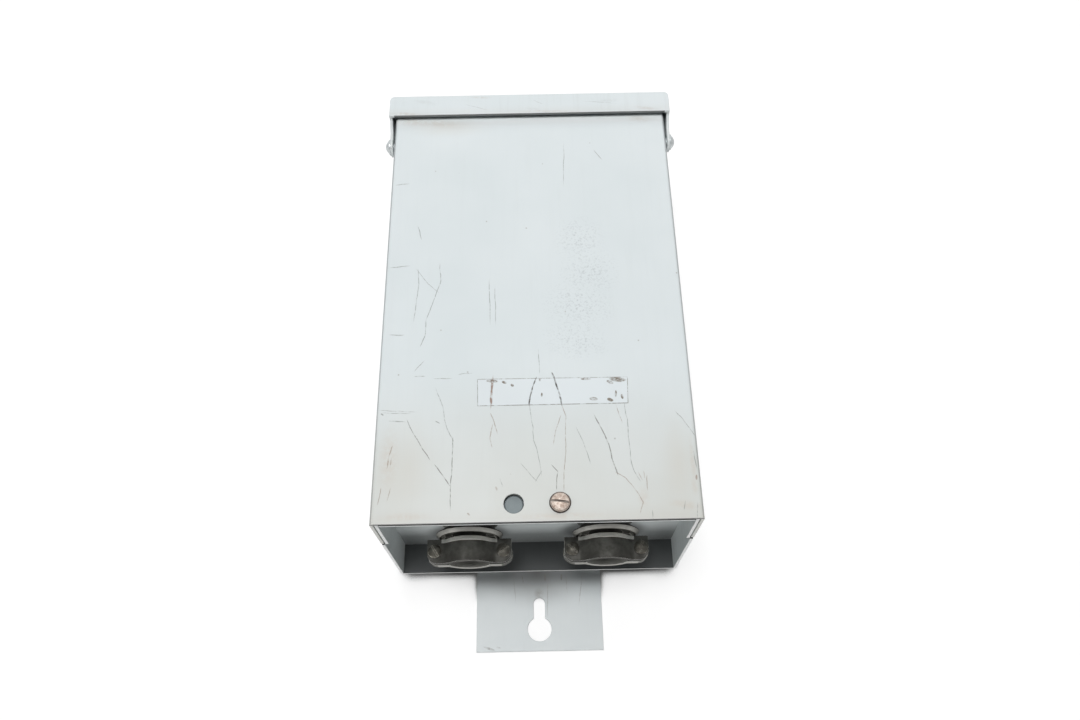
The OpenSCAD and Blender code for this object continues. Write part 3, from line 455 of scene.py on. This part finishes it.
# how edges are rounded: segments, the angle in degrees from which an edge is sharp, weight of the flat faces
easing = {"segments": 2, "sharpFrom": 32, "flatWeight": 80}


# rounds a mesh's sharp edges, keeps its flat faces flat, and leaves it plain
def easeEdges(piece, material, easeMm):
    mesh = piece.data
    mesh.materials.clear()
    mesh.materials.append(material)
    mesh.materials.append(material)
    for face in mesh.polygons:
        face.material_index = 0
        face.use_smooth = True
    ease = piece.modifiers.new("ease", "BEVEL")
    ease.width = easeMm * mm
    ease.segments = easing["segments"]
    ease.limit_method = "ANGLE"
    ease.angle_limit = math.radians(easing["sharpFrom"])
    ease.material = 1
    ease.miter_outer = "MITER_ARC"
    flat = piece.modifiers.new("flat", "WEIGHTED_NORMAL")
    flat.weight = easing["flatWeight"]
    flat.keep_sharp = False
    markEdges(settle(piece), material)
    return piece


# how triangles are merged: distance between doubles in m, angle in degrees up to which faces count as one
merging = {"apart": 2e-6, "angle": 0.4}


# a copy of a CAD node with its triangles merged and its edges eased; cuts part its faces where a finish changes
def dress(node, name, material, easeMm, cuts=()):
    mesh = frame["nodes"][node].data.copy()
    piece = bpy.data.objects.new(name, mesh)
    scene.collection.objects.link(piece)
    shell = bmesh.new()
    shell.from_mesh(mesh)
    bmesh.ops.remove_doubles(shell, verts=shell.verts, dist=merging["apart"])
    bmesh.ops.dissolve_limit(shell, angle_limit=math.radians(merging["angle"]), verts=shell.verts, edges=shell.edges)
    for across, at in cuts:
        everything = shell.verts[:] + shell.edges[:] + shell.faces[:]
        bmesh.ops.bisect_plane(shell, geom=everything, plane_co=Vector(across) * at * mm, plane_no=across)
    shell.to_mesh(mesh)
    shell.free()
    for key in [a.name for a in mesh.attributes if a.name in ("custom_normal", "sharp_edge", "sharp_face")]:
        mesh.attributes.remove(mesh.attributes[key])
    return easeEdges(piece, material, easeMm)


# pieces are named after their nodes, all but these
ownNames = {"cover": "hingedCover", "hood": "rainHood", "locknuts": "ringLocknuts", "armature": "armaturePack",
            "heaters": "heaterStrips"}


def pieceName(node):
    first, *rest = node.split("_")
    return ownNames.get(node, first + "".join(word.title() for word in rest))


# node, finish, easing of its edges in mm
sheetWork = [("cover", "cover", 0.35), ("hood", "hood", 0.35), ("back_box", "box", 0.3),
             ("top_plate", "inner", 0.25), ("bottom_plate", "recess", 0.3), ("mounting_strap", "strap", 0.3)]
fittings = [("hinge_rivets", "rivet", 0.2), ("cover_screw", "copperScrew", 0.18), ("screw_washer", "fibre", 0.12),
            ("cover_nut", "steel", 0.3), ("reset_button", "button", 0.25), ("reset_guide", "steel", 0.2),
            ("reset_bracket", "steel", 0.2)]
sides = ("left", "right")
connectors = [(f"{side}_connector", "zinc", 0.7) for side in sides]
saddles = [(f"{side}_saddle", "zinc", 0.9) for side in sides]
clampScrews = [(f"{side}_clamp_screw_{end}", "zincScrew", 0.2) for side in sides for end in "ab"]
innards = [("locknuts", "zinc", 0.35), ("magnet_core", "lamination", 0.25), ("armature", "lamination", 0.25),
           ("heaters", "steel", 0.2), ("starter_plate", "steel", 0.25), ("plate_spacers", "steel", 0.2),
           ("contactor_base", "phenolic", 0.5), ("magnet_coil", "coil", 0.6), ("contact_carrier", "brown", 0.4),
           ("moving_contacts", "brass", 0.2), ("line_terminals", "brass", 0.2), ("load_straps", "brass", 0.2),
           ("arc_cover", "phenolic", 0.6), ("overload_base", "phenolic", 0.6), ("overload_terminals", "brass", 0.2),
           ("reset_pin", "red", 0.3), ("ground_lug", "steel", 0.4), ("ground_screw", "green", 0.2)]
dressed = sheetWork + fittings + connectors + saddles + clampScrews + innards
# where darkening and painted shade begin, in mm, and the planes (normal, distance) that part the faces there
recessTop = -107.05
sheetEnd = 101.3
saddleShadeFrom = -122.5
plateFade = (36, 20)
lipHalf = 76.4
partings = {"back_box": [((0, 1, 0), recessTop)], "cover": [((0, 0, 1), sheetEnd)],
            "hood": [((1, 0, 0), -lipHalf), ((1, 0, 0), lipHalf)],
            "bottom_plate": [((0, 0, 1), z) for z in plateFade],
            "left_saddle": [((0, 1, 0), saddleShadeFrom)], "right_saddle": [((0, 1, 0), saddleShadeFrom)]}
for node, finish, easeMm in dressed:
    place(dress(node, pieceName(node), paint[finish], easeMm, partings.get(node, ())), [node])


# marks soot and painted shade on a dressed piece: amount says how much for a face's middle, its outward normal and a
# corner, in mm
def markSootAndShade(name, amount):
    mesh = bpy.data.objects[name].data
    soot = mesh.attributes.new("soot", "FLOAT", "CORNER")
    for face in mesh.polygons:
        for loop in face.loop_indices:
            corner = mesh.vertices[mesh.loops[loop].vertex_index].co / mm
            soot.data[loop].value = amount(face.center / mm, face.normal, corner)


# a face whose normal falls below facingDown in Y looks down, and one above facingOut in Z looks out
facingDown = -0.7
facingOut = 0.5
hoodLipShadeLook = {"lipFrom": 104.0, "lipDown": -0.3, "amount": 0.85}


# painted shade under the hood's lip
def hoodLipShade(at, out, corner):
    underLip = at.z > hoodLipShadeLook["lipFrom"] and out.y < hoodLipShadeLook["lipDown"] and abs(at.x) < lipHalf
    return hoodLipShadeLook["amount"] if underLip else 0.0


coverSootAndShadeLook = {"end": -122.5, "endAmount": 0.9, "fold": (0.55, 0.97), "foldAmount": 0.4}


# the cover's lower end face is darkened, and the folds at its sides get a weaker painted shade
def coverSootAndShade(at, out, corner):
    if at.z > sheetEnd and at.y < coverSootAndShadeLook["end"] and out.y < facingDown:
        return coverSootAndShadeLook["endAmount"]
    low, high = coverSootAndShadeLook["fold"]
    return coverSootAndShadeLook["foldAmount"] if low < abs(out.x) < high else 0.0


recessShadeLook = {"notch": (65.9, 68.3), "notchY": (-123.0, -121.2), "notchX": 70, "wallHalf": 75.5, "depth": 85.0,
           "backAmount": 0.965, "wallAmount": (0.3, 0.05)}


# painted shade: the recess under the box darkens towards the wall, and the notches in its side walls are painted dark
def recessShade(at, out, corner):
    near, far = recessShadeLook["notch"]
    low, high = recessShadeLook["notchY"]
    if near < at.z < far and low < at.y < high and abs(at.x) > recessShadeLook["notchX"]:
        return 1.0
    if at.y > recessTop or out.y < facingDown or abs(at.x) > recessShadeLook["wallHalf"]:
        return 0.0
    amount = recessShadeLook["backAmount"] if out.z > facingOut else recessShadeLook["wallAmount"][at.x > 0]
    return amount * max(0.0, 1 - corner.z / recessShadeLook["depth"])


plateShadeLook = {"apronFront": 99.0, "apronAmount": 0.9, "under": 1, "end": 98, "most": 0.82, "perMm": 0.043}


# painted shade: the bottom plate darkens underneath towards the wall, and its apron is painted dark behind the cover
def plateShade(at, out, corner):
    if at.z > plateShadeLook["apronFront"] and out.z > facingOut:
        return plateShadeLook["apronAmount"]
    if out.y < facingDown and at.y < recessTop + plateShadeLook["under"] and at.z < plateShadeLook["end"]:
        return max(0.0, min(plateShadeLook["most"], (plateFade[0] - corner.z) * plateShadeLook["perMm"]))
    return 0.0


screwSootAndShadeLook = {"at": Vector((10.7, -114.75)), "headHalf": 4.2, "rim": 0.55, "lowerRim": 0.4, "slotFloor": 104.6,
             "floorBand": 0.3, "slot": 0.7}


# the cover screw is darkened around its rim, less so below, and in its slot, partly dirt and partly painted shade
def screwSootAndShade(at, out, corner):
    if (at.xy - screwSootAndShadeLook["at"]).length > screwSootAndShadeLook["headHalf"]:
        return screwSootAndShadeLook["rim"] if out.y > 0 else screwSootAndShadeLook["rim"] * screwSootAndShadeLook["lowerRim"]
    slotWall = abs(out.z) < facingOut or at.z < screwSootAndShadeLook["slotFloor"] + screwSootAndShadeLook["floorBand"]
    return screwSootAndShadeLook["slot"] if at.z > screwSootAndShadeLook["slotFloor"] and slotWall else 0.0


saddleShadeLook = {"perMm": 0.073, "most": 0.55}


# painted shade: the saddles darken towards the cable, all but their rubbed edges
def saddleShade(at, out, corner):
    return max(0.0, min(saddleShadeLook["most"], (saddleShadeFrom - corner.y) * saddleShadeLook["perMm"]))


for name, amount in (("rainHood", hoodLipShade), ("hingedCover", coverSootAndShade), ("backBox", recessShade),
                     ("bottomPlate", plateShade), ("coverScrew", screwSootAndShade)):
    markSootAndShade(name, amount)
for node, finish, easeMm in saddles:
    markSootAndShade(pieceName(node), saddleShade)
    mesh = bpy.data.objects[pieceName(node)].data
    for mark, rubbed in zip(mesh.attributes["soot"].data, mesh.attributes["edgeWear"].data):
        mark.value *= 1 - rubbed.value

# painted light on the connectors: the ring beads' front faces get a painted highlight and the bores a paler painted
# light, while the beads' outer rims and what lies behind them get painted shade
bead = {"axisX": 34.4, "axisZ": 53.4, "reach": 12.2, "low": -117.9, "facing": -0.3, "wiped": 0.44, "behind": 0.7,
        "rimFrom": 14.8, "rimPerMm": 0.3, "bore": 11.0, "lit": 0.35}
for node, finish, easeMm in connectors:
    mesh = bpy.data.objects[pieceName(node)].data
    wornAndLit = mesh.attributes["edgeWear"]
    soot = mesh.attributes.new("soot", "FLOAT", "CORNER")
    for face in mesh.polygons:
        reach = math.hypot(abs(face.center.x) / mm - bead["axisX"], face.center.z / mm - bead["axisZ"])
        if reach < bead["bore"] and face.center.y / mm < bead["low"]:
            for loop in face.loop_indices:
                wornAndLit.data[loop].value = max(wornAndLit.data[loop].value, bead["lit"])
        if reach > bead["reach"] and face.center.y / mm > bead["low"]:
            front = face.normal.y < bead["facing"]
            for loop in face.loop_indices:
                wornAndLit.data[loop].value = bead["wiped"] if front else 0.0
                corner = mesh.vertices[mesh.loops[loop].vertex_index].co / mm
                cornerReach = math.hypot(abs(corner.x) - bead["axisX"], corner.z - bead["axisZ"])
                rimShade = max(0.0, (cornerReach - bead["rimFrom"]) * bead["rimPerMm"])
                soot.data[loop].value = rimShade if front else bead["behind"]
# the sheet ends under the box get a pale painted highlight and the saddles' ribs are rubbed pale: name, lowest and
# highest Y, facing, amount
rubbedAndLitEnds = [("bottomPlate", -124, -121, facingDown, 1.0), ("backBox", -124, -123, facingDown, 1.0),
              ("leftSaddle", -120.2, -118, 2, 0.85), ("rightSaddle", -120.2, -118, 2, 0.85)]
for name, low, high, facing, amount in rubbedAndLitEnds:
    mesh = bpy.data.objects[name].data
    wornAndLit = mesh.attributes["edgeWear"]
    for face in mesh.polygons:
        if low < face.center.y / mm < high and face.normal.y < facing:
            for loop in face.loop_indices:
                wornAndLit.data[loop].value = max(wornAndLit.data[loop].value, amount)
print("dressed pieces:", len(dressed))


# a Geometry Nodes tree with an input for seats, each size, each count and a finish; add for it, and its inputs
def startTree(name, sizes, counts=()):
    tree = bpy.data.node_groups.new(name, "GeometryNodeTree")
    kinds = {"Seats": "Geometry", **dict.fromkeys(sizes, "Float"), **dict.fromkeys(counts, "Int"), "Finish": "Material"}
    for socket, kind in kinds.items():
        tree.interface.new_socket(socket, in_out="INPUT", socket_type="NodeSocket" + kind)
    tree.interface.new_socket("Pieces", in_out="OUTPUT", socket_type="NodeSocketGeometry")
    put = partial(add, tree)
    return tree, put, put("NodeGroupInput", out=None).outputs


# puts the shape on every seat, turned as the seat says, and makes one plain mesh of the copies
def endTree(tree, put, given, shape):
    turn = put("GeometryNodeInputNamedAttribute", {"Name": "turn"}, data_type="FLOAT_VECTOR")
    copies = put("GeometryNodeInstanceOnPoints", {"Points": given["Seats"], "Instance": shape, "Rotation": turn})
    plain = put("GeometryNodeRealizeInstances", {0: copies})
    finished = put("GeometryNodeSetMaterial", {"Geometry": plain, "Material": given["Finish"]})
    put("NodeGroupOutput", {"Pieces": finished}, None)
    return tree


# wire wound along Z from the seat; Closing draws the end turns together as a spring's are
def woundWireTree():
    tree, put, given = startTree(
        "woundWire", ("Coil Diameter", "Wire Diameter", "Length", "Closing", "Turns"), ("Rings", "Sides"))
    coilRadius, wireRadius = [put("Math", {0: given[size], 1: 0.5}, operation="MULTIPLY")
                              for size in ("Coil Diameter", "Wire Diameter")]
    rise = put("Math", {0: given["Length"], 1: given["Wire Diameter"]}, operation="SUBTRACT")
    helix = put("GeometryNodeCurveSpiral", {
        "Resolution": given["Rings"], "Rotations": given["Turns"], "Start Radius": coilRadius, "End Radius": coilRadius,
        "Height": rise})
    along = put("GeometryNodeSplineParameter", out="Factor")
    eased = put("MapRange", {0: along}, interpolation_type="SMOOTHSTEP")
    pull = put("Math", {0: eased, 1: along}, operation="SUBTRACT")
    pull = put("Math", {0: pull, 1: given["Closing"]}, operation="MULTIPLY")
    lift = put("Math", {0: pull, 1: rise, 2: wireRadius}, operation="MULTIPLY_ADD")
    offset = put("CombineXYZ", {2: lift})
    helix = put("GeometryNodeSetPosition", {"Geometry": helix, "Offset": offset})
    section = put("GeometryNodeCurvePrimitiveCircle", {"Resolution": given["Sides"], "Radius": wireRadius})
    wire = put("GeometryNodeCurveToMesh", {"Curve": helix, "Profile Curve": section, "Fill Caps": True})
    return endTree(tree, put, given, wire)


# sides of head and shank, rings in the head's face, and the slot's cutter by the head's diameter and the slot's depth
screwMesh = {"headSides": 32, "headRings": 4, "shankSides": 20, "cutterLong": 1.2, "cutterTall": 2.0}


# slotted screw with its head's lower face on the seat
def slottedScrewTree():
    tree, put, given = startTree("slottedScrew", (
        "Head Diameter", "Head Height", "Dome", "Shank Diameter", "Shank Length", "Slot Width", "Slot Depth"))
    headRadius, shankRadius, halfHead = [put("Math", {0: given[size], 1: 0.5}, operation="MULTIPLY")
                                         for size in ("Head Diameter", "Shank Diameter", "Head Height")]
    head = put("GeometryNodeMeshCylinder", {
        "Vertices": screwMesh["headSides"], "Fill Segments": screwMesh["headRings"],
        "Radius": headRadius, "Depth": given["Head Height"]})
    spot = put("GeometryNodeInputPosition")
    height = put("SeparateXYZ", {0: spot}, out=2)
    above = put("Math", {0: height, 1: 0.0}, operation="GREATER_THAN")
    flatSpot = put("VectorMath", {0: spot, 1: (1, 1, 0)}, operation="MULTIPLY")
    reach = put("VectorMath", {0: flatSpot}, operation="LENGTH", out="Value")
    share = put("Math", {0: reach, 1: headRadius}, operation="DIVIDE")
    fall = put("Math", {0: share, 1: 2.0}, operation="POWER")
    fall = put("Math", {0: fall, 1: given["Dome"]}, operation="MULTIPLY")
    fall = put("Math", {0: fall, 1: -1.0}, operation="MULTIPLY")
    drop = put("CombineXYZ", {2: fall})
    head = put("GeometryNodeSetPosition", {"Geometry": head, "Selection": above, "Offset": drop})
    headUp = put("CombineXYZ", {2: halfHead})
    head = put("GeometryNodeTransform", {"Geometry": head, "Translation": headUp})
    shank = put("GeometryNodeMeshCylinder", {
        "Vertices": screwMesh["shankSides"], "Radius": shankRadius, "Depth": given["Shank Length"]})
    shankDrop = put("Math", {0: given["Shank Length"], 1: -0.5, 2: halfHead}, operation="MULTIPLY_ADD")
    shankDown = put("CombineXYZ", {2: shankDrop})
    shank = put("GeometryNodeTransform", {"Geometry": shank, "Translation": shankDown})
    joined = put("GeometryNodeMeshBoolean", {"Mesh 2": head}, None, operation="UNION", solver="EXACT")
    feed(joined, {"Mesh 2": shank})
    slotLength = put("Math", {0: given["Head Diameter"], 1: screwMesh["cutterLong"]}, operation="MULTIPLY")
    slotTall = put("Math", {0: given["Slot Depth"], 1: screwMesh["cutterTall"]}, operation="MULTIPLY")
    slotSize = put("CombineXYZ", {0: slotLength, 1: given["Slot Width"], 2: slotTall})
    slot = put("GeometryNodeMeshCube", {"Size": slotSize})
    slotUp = put("CombineXYZ", {2: given["Head Height"]})
    slot = put("GeometryNodeTransform", {"Geometry": slot, "Translation": slotUp})
    screw = put("GeometryNodeMeshBoolean", {
        "Mesh 1": joined.outputs[0], "Mesh 2": slot}, operation="DIFFERENCE", solver="EXACT")
    return endTree(tree, put, given, screw)


# the sizes that are given in mm; the others are counts and shares
lengths = ("Coil Diameter", "Wire Diameter", "Length", "Head Diameter", "Head Height", "Dome", "Shank Diameter",
           "Shank Length", "Slot Width", "Slot Depth")


# runs a tree on seats of (place in mm, turn in degrees) and leaves a plain mesh
def grow(name, tree, seats, sizes, material):
    mesh = bpy.data.meshes.new(name)
    mesh.from_pydata([[c * mm for c in at] for at, turn in seats], [], [])
    turns = mesh.attributes.new("turn", "FLOAT_VECTOR", "POINT")
    for spot, (at, turn) in zip(turns.data, seats):
        spot.vector = [math.radians(angle) for angle in turn]
    piece = bpy.data.objects.new(name, mesh)
    scene.collection.objects.link(piece)
    modifier = piece.modifiers.new(tree.name, "NODES")
    modifier.node_group = tree
    for socket in tree.interface.items_tree:
        if socket.name in sizes:
            modifier[socket.identifier] = sizes[socket.name] * (mm if socket.name in lengths else 1)
        elif socket.name == "Finish":
            modifier[socket.identifier] = material
    for face in settle(piece).polygons:
        face.use_smooth = True
    return piece


woundWire = woundWireTree()
slottedScrew = slottedScrewTree()
# the box's lower end in mm, the poles' X, and turns of seats that look along Z and along Y
base = -123.25
poles = (-26, 0, 26)
level = (0, 0, 0)
upright = (-90, 0, 0)

# node, seats, sizes of its springs in mm
springWire = {"Coil Diameter": 5.0, "Wire Diameter": 0.8, "Closing": 0.6, "Rings": 24, "Sides": 10}
springs = [("reset_spring", [((-10.5, base + 8.5, 82.5), level)],
            dict(springWire, **{"Coil Diameter": 6.4, "Length": 8.4, "Turns": 4.5, "Rings": 28})),
           ("return_springs", [((x, base + 136, 36), level) for x in (-38, 38)],
            dict(springWire, **{"Length": 18.2, "Turns": 8.0, "Closing": 0.5})),
           ("contact_springs", [((x, base + 136, 69.9), level) for x in poles],
            dict(springWire, **{"Length": 9.2, "Turns": 5.5}))]
for node, seats, sizes in springs:
    spring = place(grow(pieceName(node), woundWire, seats, sizes, paint["springSteel"]), [node])
    if node == "reset_spring":
        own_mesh(spring)
    if node == "return_springs":
        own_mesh(spring)

# resistance wire on the heaters, and the threads on the connectors' nipples
windingSizes = {"Coil Diameter": 9.2, "Wire Diameter": 1.0, "Length": 15.0, "Turns": 10.0, "Closing": 0.0, "Rings": 28,
                "Sides": 8}
threadSizes = {"Coil Diameter": 26.3, "Wire Diameter": 0.9, "Length": 8.2, "Turns": 5.6, "Closing": 0.0, "Rings": 48,
               "Sides": 6}
windings = grow("heaterWindings", woundWire, [((x, base + 59.5, 67), upright) for x in poles], windingSizes,
                paint["lamination"])
threads = grow("nippleThreads", woundWire, [((x, base + 21.6, 53.4), upright) for x in (-34.4, 34.4)], threadSizes,
               paint["zinc"])
for piece, node in ((windings, "heaters"), (threads, "left_connector")):
    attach(piece, bodyOf[node])

# node, seats, head diameter and height, shank diameter and length in mm
smallScrews = [
    ("plate_screws", [((x, base + y, 8.5), (0, 0, 3 * x + y)) for x in (-54, 54) for y in (32, 198)], 8, 2.6, 4.4, 6.2),
    ("terminal_screws", [((x, base + y, 61.6), (0, 0, x + y)) for x in poles for y in (169, 103)], 8, 2.8, 4, 9.6),
    ("arc_cover_screws", [((s * 13, base + 136 + s * 31, 64), (0, 0, 20 * s)) for s in (-1, 1)], 7.2, 2.6, 4, 12),
    ("base_screws", [((x, base + y, 12.5), (0, 0, x + y)) for x in (-47, 47) for y in (112, 160, 63)], 8, 2.6, 4.4, 6),
    ("heater_screws", [((x, base + y, 63), (0, 0, x - y)) for x in poles for y in (81, 53)], 7.2, 2.6, 4, 11),
    ("overload_screws", [((x, base + 44, 61.6), (0, 0, 3 * x)) for x in poles], 8, 2.8, 4, 9.6)]
screwLook = {"dome": 0.5, "slotWide": 1.0, "slotDeep": 1.1, "easeMm": 0.15}
for node, seats, headWide, headTall, shankWide, shankLong in smallScrews:
    sizes = {"Head Diameter": headWide, "Head Height": headTall, "Dome": screwLook["dome"] * headTall,
             "Shank Diameter": shankWide, "Shank Length": shankLong + headTall / 2,
             "Slot Width": screwLook["slotWide"], "Slot Depth": screwLook["slotDeep"]}
    screws = grow(pieceName(node), slottedScrew, seats, sizes, paint["steel"])
    place(easeEdges(screws, paint["steel"], screwLook["easeMm"]), [node])
print("wound and screwed pieces:", len(springs) + len(smallScrews) + 2)

# bare label plate with its dark outline
labelLook = {"corners": [(-27.6, -66.2), (44.9, -66.2), (45.4, -52.2), (-27.9, -51.9)], "low": 103.0, "high": 103.14,
             "lineMm": 0.42}
shell = bmesh.new()
rim = [shell.verts.new((x * mm, y * mm, labelLook["low"] * mm)) for x, y in labelLook["corners"]]
raised = bmesh.ops.extrude_face_region(shell, geom=[shell.faces.new(rim)])["geom"]
bmesh.ops.translate(shell, vec=(0, 0, (labelLook["high"] - labelLook["low"]) * mm),
                    verts=[v for v in raised if isinstance(v, bmesh.types.BMVert)])
bmesh.ops.recalc_face_normals(shell, faces=shell.faces)
top = max(shell.faces, key=lambda face: face.calc_center_median().z)
bmesh.ops.inset_region(shell, faces=[top], thickness=labelLook["lineMm"] * mm)
for face in shell.faces:
    face.material_index = 0 if face == top else 1
labelMesh = bpy.data.meshes.new("bareLabel")
shell.to_mesh(labelMesh)
shell.free()
markEdges(labelMesh, paint["label"])
label = bpy.data.objects.new("bareLabel", labelMesh)
scene.collection.objects.link(label)
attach(label, "cover")
print("label set")

# plain floor, seen white and still shaded where the box stands on it
floorLook = {"size": 6.0, "drop": 0.0002, "diffuse": "#acacac", "seen": 0.68, "contactMm": 18, "samples": 8,
             "contact": (0.61, 0.85, 0.0), "contactEnd": (-140, -131), "contactSide": (71, 79)}
floorMesh = bpy.data.meshes.new("studioFloor")
half = floorLook["size"] / 2
floorMesh.from_pydata([(-half, -half, 0), (half, -half, 0), (half, half, 0), (-half, half, 0)], [], [(0, 1, 2, 3)])
floorMesh.transform(Matrix.Translation((0, 0, -floorLook["drop"])))
floor = bpy.data.objects.new("studioFloor", floorMesh)
scene.collection.objects.link(floor)
floorPaper = bpy.data.materials.new("whiteSweepPaper")
floorPaper.use_nodes = True
floorPaper.node_tree.nodes.clear()
put = partial(add, floorPaper.node_tree)
ray = put("LightPath", out=None)
seen = put("Math", {0: ray.outputs["Is Camera Ray"], 1: ray.outputs["Is Glossy Ray"]}, operation="MAXIMUM")
seen = put("Math", {0: seen, 1: ray.outputs["Is Transmission Ray"]}, operation="MAXIMUM")
strength = put("Math", {0: seen, 1: floorLook["seen"]}, operation="MULTIPLY")
# the glow fades where the box stands close, so that its contact shadow shows
shut, clear, least = floorLook["contact"]
nearby = put("AmbientOcclusion", {"Distance": floorLook["contactMm"] * mm}, samples=floorLook["samples"], out="AO")
spot = put("TexCoord", out="Object")
spot = put("SeparateXYZ", {0: spot}, None).outputs
endFar, endNear = floorLook["contactEnd"]
least = put("MapRange", {0: spot["Y"], 1: endFar * mm, 2: endNear * mm, 3: 1.0, 4: least})
aside = put("Math", {0: spot["X"]}, operation="ABSOLUTE")
sideNear, sideFar = floorLook["contactSide"]
aside = put("MapRange", {0: aside, 1: sideNear * mm, 2: sideFar * mm})
least = put("Math", {0: least, 1: aside}, operation="MAXIMUM")
nearby = put("MapRange", {0: nearby, 1: shut, 2: clear, 3: least})
strength = put("Math", {0: strength, 1: nearby}, operation="MULTIPLY")
matt = put("BsdfDiffuse", {"Color": linear(floorLook["diffuse"])})
glow = put("Emission", {"Strength": strength})
both = put("AddShader", {0: matt, 1: glow})
put("OutputMaterial", {"Surface": both}, None)
floorMesh.materials.append(floorPaper)

# even white room: white to the camera, a softer level as light and in reflections
roomLook = {"light": 0.1, "colour": "#f8f9fa"}
world = bpy.data.worlds.new("studioRoom")
scene.world = world
world.use_nodes = True
world.node_tree.nodes.clear()
put = partial(add, world.node_tree)
ray = put("LightPath", out=None)
seen = put("Math", {0: ray.outputs["Is Camera Ray"], 1: ray.outputs["Is Transmission Ray"]}, operation="MAXIMUM")
glowLevel = put("MapRange", {0: seen, 3: roomLook["light"]})
white = put("Background", {"Color": linear(roomLook["colour"]), "Strength": glowLevel})
put("OutputWorld", {"Surface": white}, None)

# soft lamps around the box: place, aim and size in m
plainLamp = {"aim": (0, 0, 0.06), "size": (0.6, 0.8), "colour": "#fdfdfd"}
lowLamp = {"aim": (0, -0.1, 0.06), "size": (0.5, 0.18), "colour": "#fffdfa"}
lamps = {"overheadKey": dict(plainLamp, at=(-0.1, -0.08, 1.5), size=(0.45, 0.45), watts=12.6),
         "topSoftbox": dict(plainLamp, at=(0.1, 1.1, 0.9), aim=(0, 0.03, 0.06), size=(1.2, 0.7), watts=5.0),
         "leftSoftbox": dict(plainLamp, at=(-1.2, 0.25, 0.6), watts=3.0),
         "rightSoftbox": dict(plainLamp, at=(1.2, 0.25, 0.6), watts=2.4, colour="#fffdf9"),
         "frontSoftbox": dict(plainLamp, at=(0.0, -1.3, 0.6), aim=(0, -0.05, 0.06), size=(1.0, 0.4), watts=1.6,
                              colour="#fffdfb"),
         "lowFillLeft": dict(lowLamp, at=(-0.75, -1.0, 0.1), watts=3.1),
         "lowFillRight": dict(lowLamp, at=(0.75, -1.0, 0.1), watts=2.4)}
for name, look in lamps.items():
    lamp = bpy.data.lights.new(name, "AREA")
    lamp.shape = "RECTANGLE"
    lamp.size, lamp.size_y = look["size"]
    lamp.energy = look["watts"]
    lamp.color = linear(look["colour"])[:3]
    lampObject = bpy.data.objects.new(name, lamp)
    lampObject.location = look["at"]
    lampObject.rotation_euler = (Vector(look["aim"]) - Vector(look["at"])).to_track_quat("-Z", "Y").to_euler()
    scene.collection.objects.link(lampObject)

# the camera stands where the photograph was taken from
view = {"lens": 29.41, "sensor": 36.0, "nearest": 0.01, "at": (0.001432, -0.232678, 0.493354),
        "forward": (0.003403, 0.438587, -0.898682), "up": (0.019934, 0.898479, 0.438563)}
camera = bpy.data.cameras.new("studioCamera")
camera.lens = view["lens"]
camera.sensor_width = view["sensor"]
camera.sensor_fit = "HORIZONTAL"
camera.clip_start = view["nearest"]
cameraObject = bpy.data.objects.new("studioCamera", camera)
back = -Vector(view["forward"]).normalized()
side = Vector(view["up"]).cross(back).normalized()
upward = back.cross(side)
cameraObject.matrix_world = Matrix.Translation(view["at"]) @ Matrix((side, upward, back)).transposed().to_4x4()
scene.collection.objects.link(cameraObject)
scene.camera = cameraObject
scene.view_settings.view_transform = "Standard"
print("stage, lamps and camera set")
